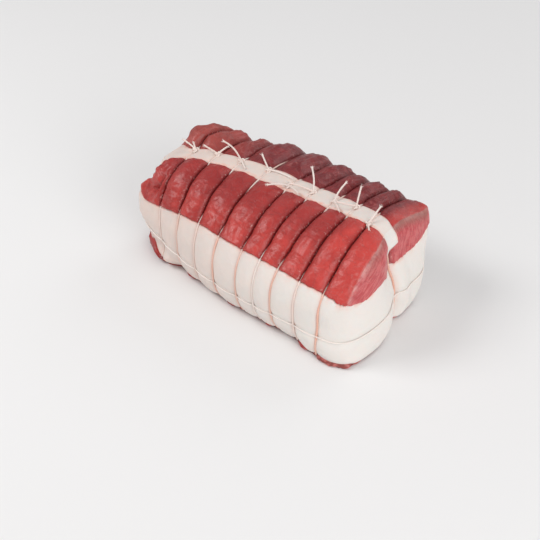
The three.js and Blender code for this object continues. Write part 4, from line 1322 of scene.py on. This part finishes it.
@dataclass(frozen=True)
class Twine(Layout):
    """Butcher's twine: nine girth loops with knots, one round the band and one lengthwise."""

    tree: bpy.types.NodeTree
    finish: bpy.types.Material
    # From each knot to the tips of its two loose ends.
    tails: tuple[tuple[tuple[float, float, float], ...], ...] = (
        ((-10, -2, 5), (-3, 1, 4)),
        ((-9, -4, 5), (3, 8, 4)),
        ((-18, 1, 8), (9, -6, 1)),
        ((-8, 2, 8), (20, 1, 2)),
        ((-9, -12, 3), (12, -4, 2)),
        ((-12, 13, 8), (-14, -8, 5)),
        ((-1, 14, 8), (11, -8, 2)),
        ((-5, 11, 8), (-9, -11, 6)),
        ((1, 11, 8), (5, -6, 0)),
    )
    # One end of the third loop's knot stands up in an arch.
    arched: tuple[int, int] = (2, 0)
    tail_bend: float = 0.05
    arched_bend: float = 0.2
    stains: tuple[float, ...] = (0.25, 0.6, 0.35, 0.85, 0.75, 0.1, 0.8, 0.3, 0.95)
    # How far out from the strip each loop has sunk into its crease.
    sink: tuple[float, ...] = (0.22, 0.22, 0.3, 0.6, 0.22, 0.22, 0.3, 0.25, 0.25)
    # A loop's line: its depth on each thing that it crosses, its stains, its painted shade where it sinks far
    # in, and its thickness.
    points_up: int = 110
    points_over: int = 130
    front_depths: Span = (3.1, 5.9)
    front_off_band: Span = (1.5, 11)
    back_depth: float = 5.0
    crown_depth: float = 2.2
    crown_b: float = 0.12
    band_depth: float = 2.7
    strip_depth: float = 2.0
    under_depth: float = 1.1
    foot_depths: Span = (1.9, 5.2)
    foot_hem_z: Span = (5, 8)
    off_table: float = 0.85
    stain_off_band: Span = (4, -4)
    stain_behind: float = 0.5
    front_stain_share: float = 0.35
    strip_stain_share: float = 0.5
    stain_blots: Span = (0.75, 1.2)
    blot_width: tuple[float, float, float] = (9, 9, 9)
    first_blot_seed: float = 51.0
    painted_sunk_shade_depths: Span = (3.0, 4.6)
    loop_thickness: Span = (0.82, 0.98)
    thickness_waver: Relief = Relief(0.08, (7, 7, 7), 52.0)
    # The knots and their loose ends.
    first_knot_seed: int = 100
    knot_points: int = 48
    knot_sunk: float = 0.6
    knot_size: float = 0.7
    knot_flatness: float = 1.1
    knot_stretch: tuple[float, float, float] = (1.0, 1.15, 1.0)
    knot_thickness: float = 0.92
    knot_stain: float = 0.18
    tail_points: int = 26
    tail_sway: float = 0.06
    tail_lift: float = 0.35
    tail_thickness: float = 0.86
    tail_waver: float = 0.05
    tail_wavers: float = 19
    tail_lean: float = 0.45
    tail_stains: Span = (0.1, 0.3)
    fibres: int = 9
    fibre_points: int = 6
    fibre_lengths: Span = (0.9, 2.3)
    fibre_spread: float = 0.36
    fibre_roots: Span = (0.2, 0.8)
    root_scatter: float = 0.22
    fibre_curl: float = 0.3
    fibre_thickness: Span = (0.27, 0.12)
    fibre_stain: float = 0.05
    # The twine round the band and the lengthwise one.
    band_twine_sunk: float = 0.62
    band_twine_thickness: float = 0.74
    band_twine_stains: Span = (0.02, 0.10)
    band_blots: Relief = Relief(1.0, (14, 14, 14), 61.0)
    points_rise: int = 70
    hidden_depth: float = 4.6
    cleft_depth: float = 1.9
    cleft_band_depth: float = 2.6
    cleft_notch_share: float = 0.8
    cleft_stains: Span = (0.8, 1.0)

    def loop_depth(self, number: int, cube: np.ndarray, z: np.ndarray) -> np.ndarray:
        """How deep a loop's line lies below the loaf.

        Args:
            number: which loop.
            cube: places on the cube along it.
            z: heights of the loaf there.

        Returns:
            Depths, before they are evened out.
        """
        binding = self.binding
        top, bottom = binding.band_edges(self.loaf, cube[:, 0], cube[:, 1])
        wide, on_top, under = np.abs(cube[:, 1]), cube[:, 2] >= 1, cube[:, 2] <= -1
        front = mix(*self.front_depths, ease(*self.front_off_band, z - top))
        meat = np.where(cube[:, 1] < 0, front, self.back_depth)
        away = ease(self.crown_b, self.sink[number], np.where(on_top, wide, 1.0))
        depth = mix(self.crown_depth, meat, away)
        depth = np.where(~on_top & (z < top) & (z > bottom), self.band_depth, depth)
        depth = np.where(on_top & (wide < binding.strip_half_width), self.strip_depth, depth)
        depth = np.where(under, self.under_depth, depth)
        foot = mix(*self.foot_depths, ease(*self.foot_hem_z, bottom))
        return np.where(~on_top & ~under & (z <= bottom), foot, depth)

    def loop_thread(self, number: int) -> Thread:
        """The line of one girth loop: up the front, over the top, down the back and under.

        Args:
            number: which loop, from 0 at the far end.

        Returns:
            The loop's thread.
        """
        loaf, binding = self.loaf, self.binding
        a = loaf.along(np.array([loaf.loop_x[number]]))[0]
        up = np.linspace(-1, 1, self.points_up)[:-1]
        over = np.linspace(-1, 1, self.points_over)[:-1]
        cube = cube_path((a, -1.0, up), (a, over, 1.0), (a, 1.0, -up), (a, -over, -1.0))
        point, normal = loaf.surface(cube)
        z, wide = point[:, 2], np.abs(cube[:, 1])
        depth = soften(self.loop_depth(number, cube, z), passes=10)
        placed = lay(point, normal, depth, self.off_table)
        top, bottom = binding.band_edges(loaf, cube[:, 0], cube[:, 1])
        on_top = cube[:, 2] >= 1
        on_band = ~on_top & (z < top) & (z > bottom)
        on_strip = on_top & (wide < binding.strip_half_width)
        in_front = cube[:, 1] < 0
        near_band = np.where(in_front, ease(*self.stain_off_band, z - top), self.stain_behind)
        stain = self.stains[number] * mix(self.front_stain_share, 1.0, near_band)
        blots = clouds(placed, self.blot_width, self.first_blot_seed + number)
        stain = stain * mix(1.0, self.strip_stain_share, on_strip) * mix(*self.stain_blots, 0.5 + 0.5 * blots)
        placed = soften(placed, passes=3)
        thickness = mix(*self.loop_thickness, on_band) + self.thickness_waver.at(placed)
        stain = soften(stain, passes=12)
        # Painted shade: the line turns dark red where it sinks far into a crease.
        return Thread(placed, True, thickness, stain, ease(*self.painted_sunk_shade_depths, depth))

    def knot_threads(self, number: int) -> list[Thread]:
        """A loop's knot with its two loose ends, frayed at the tips.

        Args:
            number: which loop.

        Returns:
            The threads.
        """
        loaf = self.loaf
        b = self.binding.knot_offset[number] / loaf.back_half_width
        a = loaf.along(np.array([loaf.loop_x[number]]))[0]
        middle, normal = loaf.surface(np.array([[a, b, 1.0]]))
        knot = middle[0] - normal[0] * self.knot_sunk
        rng = np.random.default_rng(self.first_knot_seed + number)
        turn = np.linspace(0, 2 * np.pi, self.knot_points + 1)[:-1]
        lobes = [np.sin(turn) + 2 * np.sin(2 * turn), np.cos(turn) - 2 * np.cos(2 * turn),
                 -self.knot_flatness * np.sin(3 * turn)]
        roll = Matrix.Rotation(rng.uniform(0, np.pi), 3, "Z")
        shape = np.stack(lobes, axis=-1) * self.knot_size @ np.array(roll).T * np.array(self.knot_stretch)
        threads = [Thread(shape + knot, True, self.knot_thickness, self.knot_stain)]
        for side, step in enumerate(self.tails[number]):
            bend = self.arched_bend if (number, side) == self.arched else self.tail_bend
            threads += self.tail_threads(knot, np.array(step, float), rng, side, bend)
        return threads

    def tail_threads(self, knot: np.ndarray, step: np.ndarray, rng: np.random.Generator,
                     side: int, bend: float) -> list[Thread]:
        """One loose end, bent a little, with a few fibres at its tip.

        Args:
            knot: the knot's middle.
            step: from the knot to the tip.
            rng: the loop's random numbers.
            side: 0 or 1, which of the two ends.
            bend: how high its middle stands, as a share of its length.

        Returns:
            The threads.
        """
        share = np.linspace(0, 1, self.tail_points)[:, None]
        length = float(np.linalg.norm(step))
        sideways = unit(np.cross(step, [0, 0, 1])) * rng.uniform(-self.tail_sway, self.tail_sway) * length
        arch = np.array([0, 0, bend * length]) + sideways
        leaning = mix(1.0, share[::-1], self.tail_lean)
        path = knot + step * share + arch * (4 * share * (1 - share)) * leaning
        path = path + np.array([0, 0, self.tail_lift])
        thickness = self.tail_thickness + self.tail_waver * np.cos(share[:, 0] * self.tail_wavers + side)
        threads = [Thread(path, False, thickness, mix(*self.tail_stains, rng.random()))]
        along = unit(path[-1] - path[-4])
        run = np.linspace(0, 1, self.fibre_points)[:, None]
        fibre_thickness = mix(*self.fibre_thickness, run[:, 0])
        for _ in range(self.fibres):
            reach = rng.uniform(*self.fibre_lengths)
            way = unit(along + rng.normal(0, self.fibre_spread, 3))
            root = path[-1] - along * rng.uniform(*self.fibre_roots) + rng.normal(0, self.root_scatter, 3)
            fibre = root + way * reach * run + rng.normal(0, self.fibre_curl, 3) * run**2
            threads.append(Thread(fibre, False, fibre_thickness, self.fibre_stain))
        return threads

    def band_thread(self) -> Thread:
        """The line of the twine that runs round the band in its notch."""
        loaf, binding, lines = self.loaf, self.binding, self.lines
        ring_i, ring_j = lines.circuit()
        a, b = lines.a[ring_i], lines.b[ring_j]
        _top, bottom = binding.band_edges(loaf, a, b)
        swell = np.where(np.abs(a) >= 1, 1.0, lines.swell(binding.band_swell_power)[ring_i])
        cube = np.stack([a, b, loaf.cube_height(a, b, binding.twine_height(bottom))], axis=-1)
        point, normal = loaf.surface(cube)
        depth = binding.band_depth(loaf, cube, point, swell) + binding.notch_depth
        placed = lay(point, normal, soften(depth - self.band_twine_sunk, passes=24))
        stain = mix(*self.band_twine_stains, np.clip(self.band_blots.at(placed), 0, 1))
        placed = soften(placed, passes=2)
        return Thread(placed[::2], True, self.band_twine_thickness, stain[::2])

    def lengthwise_thread(self) -> Thread:
        """The line of the twine under the strip, down both ends in the cleft and back underneath."""
        binding, along = self.binding, self.lines.a[::2]
        rise = np.linspace(-1, 1, self.points_rise)[1:-1]
        cube = cube_path((along, 0.0, 1.0), (1.0, 0.0, rise[::-1]),
                         (along[::-1], 0.0, -1.0), (-1.0, 0.0, rise))
        point, normal = self.loaf.surface(cube)
        z = point[:, 2]
        top, bottom = binding.band_edges(self.loaf, cube[:, 0], cube[:, 1])
        end = np.abs(cube[:, 0]) >= 1
        hidden = (cube[:, 2] >= 1) | (end & (z > binding.strip_end_height - 1))
        on_band = end & (z < top) & (z > bottom)
        depth = np.where(cube[:, 2] <= -1, self.under_depth, self.cleft_depth)
        depth = np.where(hidden, self.hidden_depth, depth)
        notch = binding.notch(z - binding.band_twine_height)
        notched = self.cleft_band_depth + self.cleft_notch_share * notch
        depth = soften(np.where(on_band, notched, depth), passes=8)
        placed = soften(lay(point, normal, depth, self.off_table), passes=4)
        return Thread(placed, True, 1.0, mix(*self.cleft_stains, on_band))

    def spin(self, name: str, threads: list[Thread]) -> bpy.types.Object:
        """Twists twine along threads and leaves a plain mesh.

        Args:
            name: the object's name.
            threads: the lines to follow.

        Returns:
            The twine object.
        """
        edges = []
        start = 0
        for thread in threads:
            numbers = list(range(start, start + len(thread.points)))
            after = numbers[1:] + numbers[:1] if thread.closed else numbers[1:]
            edges += list(zip(numbers, after))
            start += len(numbers)
        marks = {}
        for mark in ("thickness", "stain", "painted_sunk_shade"):
            rows = [np.broadcast_to(getattr(thread, mark), len(thread.points)) for thread in threads]
            marks[mark] = np.concatenate(rows)
        points = np.concatenate([thread.points for thread in threads])
        guide = make_object(name + "_guide", points, [], marks, edges)
        modifier = guide.modifiers.new("Twist", "NODES")
        modifier.node_group = self.tree
        sockets = {item.name: item.identifier for item in self.tree.interface.items_tree
                   if item.item_type == "SOCKET" and item.in_out == "INPUT"}
        modifier[sockets["Radius"]] = self.binding.twine_radius * MILLIMETRE
        modifier[sockets["Finish"]] = self.finish
        depsgraph = bpy.context.evaluated_depsgraph_get()
        plain = bpy.data.meshes.new_from_object(guide.evaluated_get(depsgraph))
        plain.name = name
        guide.modifiers.remove(modifier)
        bpy.data.objects.remove(guide)
        return link_object(name, plain)


def from_hex(code: str) -> tuple[float, float, float, float]:
    """Turns an sRGB hex colour into linear light, with full alpha."""
    values = [int(code[index:index + 2], 16) / 255 for index in (1, 3, 5)]
    linear = [v / 12.92 if v <= 0.04045 else ((v + 0.055) / 1.055) ** 2.4 for v in values]
    return (*linear, 1.0)


@dataclass(frozen=True)
class Pattern:
    """Cloudy noise on the object's own coordinates.

    Its patches are about width_mm wide. Stretch says how much finer it is along X, Y and Z, swirl how far
    the patches curl, and where a span is given, the values in it become 0 and 1.
    """

    width_mm: float
    detail: float = 2.0
    stretch: tuple[float, float, float] = (1, 1, 1)
    swirl: float = 0.0
    span: Span | None = None


class Shade:
    """A material's tree, with the steps that the finishes share."""

    def __init__(self, name: str) -> None:
        """Starts an empty material with a Principled shader."""
        self.material = bpy.data.materials.new(name)
        self.material.use_nodes = True
        self.tree = self.material.node_tree
        self.tree.nodes.clear()
        self.shader = add_node(self.tree, "ShaderNodeBsdfPrincipled")
        add_node(self.tree, "ShaderNodeOutputMaterial", {"Surface": self.shader.outputs[0]})
        self.place = add_node(self.tree, "ShaderNodeTexCoord").outputs["Object"]

    def mark(self, name: str) -> bpy.types.NodeSocket:
        """Reads a value that the mesh keeps per vertex."""
        return add_node(self.tree, "ShaderNodeAttribute", attribute_name=name).outputs["Fac"]

    def stretched(self, value: bpy.types.NodeSocket, span: Span) -> bpy.types.NodeSocket:
        """Turns the values in a span to 0 and 1, with soft ends."""
        links = {"Value": value, "From Min": span[0], "From Max": span[1]}
        node = add_node(self.tree, "ShaderNodeMapRange", links, interpolation_type="SMOOTHSTEP")
        return node.outputs["Result"]

    def patches(self, pattern: Pattern, slope: float = 0.0) -> bpy.types.NodeSocket:
        """Draws a pattern, turned about X by a slope first."""
        turned = add_node(self.tree, "ShaderNodeMapping", {"Vector": self.place, "Rotation": (-slope, 0, 0)})
        mapped = add_node(self.tree, "ShaderNodeMapping",
                          {"Vector": turned.outputs[0], "Scale": pattern.stretch})
        scale = 1 / (pattern.width_mm * MILLIMETRE)
        value = add_node(self.tree, "ShaderNodeTexNoise", {
            "Vector": mapped.outputs[0], "Scale": scale, "Detail": pattern.detail,
            "Distortion": pattern.swirl}).outputs["Fac"]
        return self.stretched(value, pattern.span) if pattern.span else value

    def net(self, pattern: Pattern, line_width: Span) -> bpy.types.NodeSocket:
        """Thin curved lines where a pattern crosses its middle, 1 on the lines and 0 between them."""
        over = add_node(self.tree, "ShaderNodeMath", {0: self.patches(pattern), 1: 0.5}, operation="SUBTRACT")
        off = add_node(self.tree, "ShaderNodeMath", {0: over.outputs[0]}, operation="ABSOLUTE")
        return self.stretched(off.outputs[0], line_width)

    def layer(self, base: object, over: object, *shares: object) -> bpy.types.NodeSocket:
        """Lays a colour over the base.

        Args:
            base: a hex code or a socket.
            over: a hex code or a socket.
            *shares: sockets or numbers whose product says how strongly.

        Returns:
            The mixed colour.
        """
        share = shares[0]
        for more in shares[1:]:
            product = add_node(self.tree, "ShaderNodeMath", {0: share, 1: more}, operation="MULTIPLY")
            share = product.outputs[0]
        below, above = (from_hex(colour) if isinstance(colour, str) else colour for colour in (base, over))
        links = {0: share, 6: below, 7: above}
        return add_node(self.tree, "ShaderNodeMix", links, data_type="RGBA").outputs[2]

    def relief(self, *layers: tuple[bpy.types.NodeSocket, float]) -> bpy.types.NodeSocket:
        """Stacks layers of relief, each a height with its depth in millimetres."""
        below = {}
        for height, millimetres in layers:
            links = {"Height": height, "Distance": millimetres * MILLIMETRE, "Strength": 1.0, **below}
            below = {"Normal": add_node(self.tree, "ShaderNodeBump", links).outputs["Normal"]}
        return below["Normal"]

    def finish(self, values: dict[str, object]) -> bpy.types.Material:
        """Gives the shader its colour, relief and other values, and hands over the material."""
        for name, value in values.items():
            feed(self.tree, self.shader.inputs[name], value)
        return self.material


@dataclass(frozen=True)
class RawBeef:
    """Raw beef: wet muscle under a thin silvery skin, crimson, pinker where cut, with painted shade in its
    creases.
    """

    bulge: str = "#A42E2A"
    bright: str = "#CE443D"
    painted_shade_red: str = "#661418"
    # Painted shade, laid in the creases and on the foot.
    back: str = "#741E22"
    back_light: str = "#8A2E30"
    cut: str = "#BC464A"
    pale: str = "#CE6A6A"
    skin: str = "#C8766F"
    painted_light_red: str = "#C8423C"
    frill: str = "#8E453F"
    # Painted shade along the front lobe's top.
    painted_top_shade: str = "#8C2224"
    grey_brown: str = "#98675C"
    # Pale pink, for the painted highlight on the near rim and the specks along the creases.
    pale_pink: str = "#E6B5AE"
    mottling: Pattern = Pattern(12, 3, span=(0.34, 0.66))
    back_mottling: Pattern = Pattern(9, 3, (1, 2, 2), span=(0.35, 0.7))
    cut_fibres: Pattern = Pattern(2.6, 3, (1, 0.3, 2.2), 0.5)
    cut_span: Span = (0.4, 0.62)
    webs: Pattern = Pattern(5, 4, swirl=1.6, span=(0.56, 0.68))
    veins: Pattern = Pattern(10, 1, swirl=1.2)
    vein_width: Span = (0.03, 0.004)
    tags: Pattern = Pattern(3, 3, span=(0.4, 0.6))
    # Breaks up the painted highlight on the near rim.
    rim_highlight_flecks: Pattern = Pattern(5, 2, span=(0.3, 0.6))
    specks: Pattern = Pattern(1.6, 2, span=(0.58, 0.72))
    speck_creases: Span = (0.12, 0.36)
    pimples: Pattern = Pattern(2.4, 4, swirl=1.2)
    fibres: Pattern = Pattern(1.3, 3, (0.35, 1.6, 1.6), 0.4)
    wetness: Pattern = Pattern(6, 2)
    wet_span: Span = (0.3, 0.7)
    roughness: Span = (0.34, 0.5)

    def colour(self, shade: Shade) -> bpy.types.NodeSocket:
        """Layers the colours, from the flesh of both lobes to pale specks along the creases, with painted
        shade and painted light among them.

        Args:
            shade: the material's tree.

        Returns:
            The colour.
        """
        crease = shade.mark("crease")
        # Random mottling, and painted light that brightens the front lobe towards the near end.
        light = {0: shade.patches(self.mottling), 1: shade.mark("painted_near_light")}
        mottle_and_painted_light = add_node(shade.tree, "ShaderNodeMath", light, operation="ADD").outputs[0]
        front = shade.layer(self.bulge, self.bright, mottle_and_painted_light, 0.5)
        back = shade.layer(self.back, self.back_light, shade.patches(self.back_mottling))
        base = shade.layer(front, back, shade.mark("back_lobe"))
        # Painted light: brighter orange-red on the last bulge at the near end.
        base = shade.layer(base, self.painted_light_red, shade.mark("near_bulge"), 0.6)
        front_grain, back_grain = (shade.patches(self.cut_fibres, slope) for slope in FIBRE_SLOPES)
        grain = shade.layer(front_grain, back_grain, shade.mark("side_back"))
        sliced = shade.layer(self.cut, self.pale, shade.stretched(grain, self.cut_span))
        base = shade.layer(base, sliced, shade.mark("cut_face"))
        # Grey-brown below the top edge of the near cut face and on the far back lobe.
        base = shade.layer(base, self.grey_brown, shade.mark("greyed"), 0.75)
        base = shade.layer(base, self.skin, shade.patches(self.webs), 0.3)
        base = shade.layer(base, self.skin, shade.net(self.veins, self.vein_width), 0.1)
        ragged = shade.layer(self.frill, self.skin, shade.patches(self.tags))
        base = shade.layer(base, ragged, shade.mark("frill"), 0.9)
        # Painted highlight: a flecked pale line along the rim of the near cut face.
        base = shade.layer(base, self.pale_pink, shade.mark("ridge"), shade.patches(self.rim_highlight_flecks), 0.42)
        # Painted shade: darker crimson along the front lobe's top beside the strip.
        base = shade.layer(base, self.painted_top_shade, shade.mark("painted_top_shade"), 0.5)
        # Painted shade on the foot below the band.
        base = shade.layer(base, self.painted_shade_red, shade.mark("low"), 0.35)
        # Painted shade: a dark line in each crease and the cleft, with a faint shade beside it.
        base = shade.layer(base, self.painted_shade_red, crease, 0.85)
        # Pale specks along the creases.
        speckled = shade.stretched(crease, self.speck_creases)
        return shade.layer(base, self.pale_pink, shade.patches(self.specks), speckled, 0.5)

    def build(self) -> bpy.types.Material:
        """Makes the material."""
        shade = Shade("Raw beef under wet skin")
        wet = {
            "Value": shade.patches(self.wetness),
            "From Min": self.wet_span[0],
            "From Max": self.wet_span[1],
            "To Min": self.roughness[0],
            "To Max": self.roughness[1],
        }
        return shade.finish({
            "Base Color": self.colour(shade),
            "Normal": shade.relief((shade.patches(self.pimples), 0.3), (shade.patches(self.fibres), 0.2),
                                   (shade.net(self.veins, self.vein_width), 0.2)),
            "Roughness": add_node(shade.tree, "ShaderNodeMapRange", wet).outputs["Result"],
            "IOR": 1.4,
            "Subsurface Weight": 0.12,
            "Subsurface Radius": (1.0, 0.25, 0.15),
            "Subsurface Scale": 2.5 * MILLIMETRE,
            "Coat Weight": 0.24,
            "Coat Roughness": 0.27,
        })


@dataclass(frozen=True)
class BardingFat:
    """Barding fat: a firm sheet of back fat, waxy ivory white, blushing pink along its edges."""

    ivory: str = "#E4D2C8"
    cool: str = "#DECFC7"
    # The painted light towards the near end.
    white: str = "#E9E3DD"
    blush: str = "#EBB4A3"
    red: str = "#B4544E"
    clouding: Pattern = Pattern(16, 3, span=(0.35, 0.65))
    uneven: Pattern = Pattern(5, 3, span=(0.3, 0.7))
    hem_span: Span = (0.35, 1.0)
    dimples: Pattern = Pattern(7, 3)
    grains: Pattern = Pattern(1.1, 3)

    def build(self) -> bpy.types.Material:
        """Makes the material."""
        shade = Shade("Waxy barding fat")
        base = shade.layer(self.ivory, self.cool, shade.patches(self.clouding))
        # Painted light: whiter towards the brightly lit near end.
        base = shade.layer(base, self.white, shade.mark("painted_near_light"))
        base = shade.layer(base, self.blush, shade.mark("groove"), 0.35)
        base = shade.layer(base, self.blush, shade.mark("edge"), shade.patches(self.uneven), 0.9)
        base = shade.layer(base, self.red, shade.stretched(shade.mark("hem"), self.hem_span), 0.45)
        return shade.finish({
            "Base Color": base,
            "Normal": shade.relief((shade.patches(self.dimples), 0.5), (shade.patches(self.grains), 0.09)),
            "Roughness": 0.45,
            "IOR": 1.45,
            "Subsurface Weight": 0.3,
            "Subsurface Radius": (1.0, 0.6, 0.5),
            "Subsurface Scale": 2.0 * MILLIMETRE,
        })


@dataclass(frozen=True)
class CottonTwine:
    """Butcher's twine: three twisted cotton strands, cream white, salmon where meat juice stained it, and
    dark red as painted shade where it sinks far into a crease.
    """

    clean: str = "#F4EAE3"
    stained: str = "#EDB9A4"
    # Painted shade for twine that sinks far into a crease.
    painted_sunk_shade: str = "#8A3230"
    fuzz: Pattern = Pattern(0.35, 2)

    def build(self) -> bpy.types.Material:
        """Makes the material."""
        shade = Shade("Twisted cotton twine")
        base = shade.layer(self.clean, self.stained, shade.mark("stain"))
        return shade.finish({
            # Painted shade where the twine sinks far into a crease.
            "Base Color": shade.layer(base, self.painted_sunk_shade, shade.mark("painted_sunk_shade")),
            "Normal": shade.relief((shade.patches(self.fuzz), 0.08)),
            "Roughness": 0.85,
            "Sheen Weight": 0.2,
        })


@dataclass(frozen=True)
class Lamp:
    """A square soft light that looks at the roast. Its place and its side are in metres."""

    name: str
    place: tuple[float, float, float]
    side: float
    watts: float
    aim: tuple[float, float, float] = (0, 0, 0.04)

    def build(self) -> None:
        """Adds the light."""
        light = bpy.data.lights.new(self.name, "AREA")
        light.size = self.side
        light.energy = self.watts
        holder = link_object(self.name, light)
        holder.location = self.place
        holder.rotation_euler = (Vector(self.aim) - Vector(self.place)).to_track_quat("-Z", "Y").to_euler()


@dataclass(frozen=True)
class Studio:
    """A pale floor under soft light, and the camera at the photograph's viewing angle."""

    floor_half: float = 6.0
    floor_colour: str = "#EDECEB"
    air_colour: str = "#F4F4F6"
    air_strength: float = 0.5
    lamps: tuple[Lamp, ...] = (
        Lamp("key", (-0.62, -0.52, 0.92), 0.5, 6.0),
        Lamp("fill", (1.15, -0.35, 0.62), 0.9, 8.5),
        Lamp("back", (0.1, 1.1, 0.9), 0.7, 2.5),
    )
    # The eye is in the loaf's millimetres.
    eye: tuple[float, float, float] = (469.69, -542.24, 615.01)
    aim: tuple[float, float, float] = (-0.50348, 0.56909, -0.65011)
    focal_px: float = 1277.0
    image_px: float = 540.0
    sensor_mm: float = 36
    sight_end: float = 20

    def add_floor(self) -> None:
        """Lays the floor, which is no part of the roast."""
        half = self.floor_half
        mesh = bpy.data.meshes.new("floor")
        mesh.from_pydata([(-half, -half, 0), (half, -half, 0), (half, half, 0), (-half, half, 0)], [],
                         [(0, 1, 2, 3)])
        mesh.materials.append(Shade("Pale studio floor").finish({
            "Base Color": from_hex(self.floor_colour),
            "Roughness": 0.7,
        }))
        link_object("floor", mesh)

    def add_air(self) -> None:
        """Lights the air evenly, and shows colours plainly."""
        world = bpy.data.worlds.new("Studio air")
        world.use_nodes = True
        air = world.node_tree.nodes["Background"]
        air.inputs["Color"].default_value = from_hex(self.air_colour)
        air.inputs["Strength"].default_value = self.air_strength
        bpy.context.scene.world = world
        bpy.context.scene.view_settings.view_transform = "Standard"

    def add_camera(self) -> None:
        """Sets the camera up where the photograph was taken."""
        camera = bpy.data.cameras.new("camera")
        camera.sensor_width = self.sensor_mm
        camera.lens = self.sensor_mm * self.focal_px / self.image_px
        camera.clip_end = self.sight_end
        ahead = Vector(self.aim).normalized()
        right = ahead.cross(Vector((0, 0, 1))).normalized()
        turn = Matrix((right, right.cross(ahead), -ahead)).transposed().to_4x4()
        eye = Vector(np.array(self.eye) - BOX_MIDDLE) * MILLIMETRE
        holder = link_object("camera", camera)
        holder.matrix_world = Matrix.Translation(eye) @ turn
        bpy.context.scene.camera = holder

    def build(self) -> None:
        """Makes the floor, the lights, the air and the camera."""
        self.add_floor()
        for lamp in self.lamps:
            lamp.build()
        self.add_air()
        self.add_camera()


def place_on_roast(piece: bpy.types.Object, node: str) -> None:
    """Lets a piece stand for a node of the solids: hangs it on the root body and hides that node's solid."""
    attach(piece, "root")
    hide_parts(node)


def main() -> None:
    """Builds the roast's pieces in order, logging each one's face count, then the studio."""
    logging.basicConfig(level=logging.INFO, format="%(message)s")
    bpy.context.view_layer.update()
    loaf, binding = Loaf(), Binding()
    lines = Lines(loaf, binding)
    meat, fat, cotton = RawBeef().build(), BardingFat().build(), CottonTwine().build()
    for maker, node, slot, finish in (
        (Beef, "beef", Slot.MEAT, meat),
        (Band, "barding_band", Slot.FAT, fat),
        (Strip, "barding_strip", Slot.FAT, fat),
    ):
        piece = maker(loaf, binding, lines).build()
        piece.data.materials.append(finish)
        place_on_roast(piece, node)
        LOG.info("%s: %d faces", piece.name, len(piece.data.polygons))
    twine = Twine(loaf, binding, lines, TwineTree().build(), cotton)
    jobs = [("twine_band", [twine.band_thread()]), ("twine_lengthwise", [twine.lengthwise_thread()])]
    for number in range(len(loaf.loop_x)):
        jobs.append((f"twine_loop_{number + 1}", [twine.loop_thread(number), *twine.knot_threads(number)]))
    for node, threads in jobs:
        piece = twine.spin(node + "_cotton", threads)
        place_on_roast(piece, node)
        LOG.info("%s: %d faces", piece.name, len(piece.data.polygons))
    Studio().build()


if __name__ == "__main__":
    main()
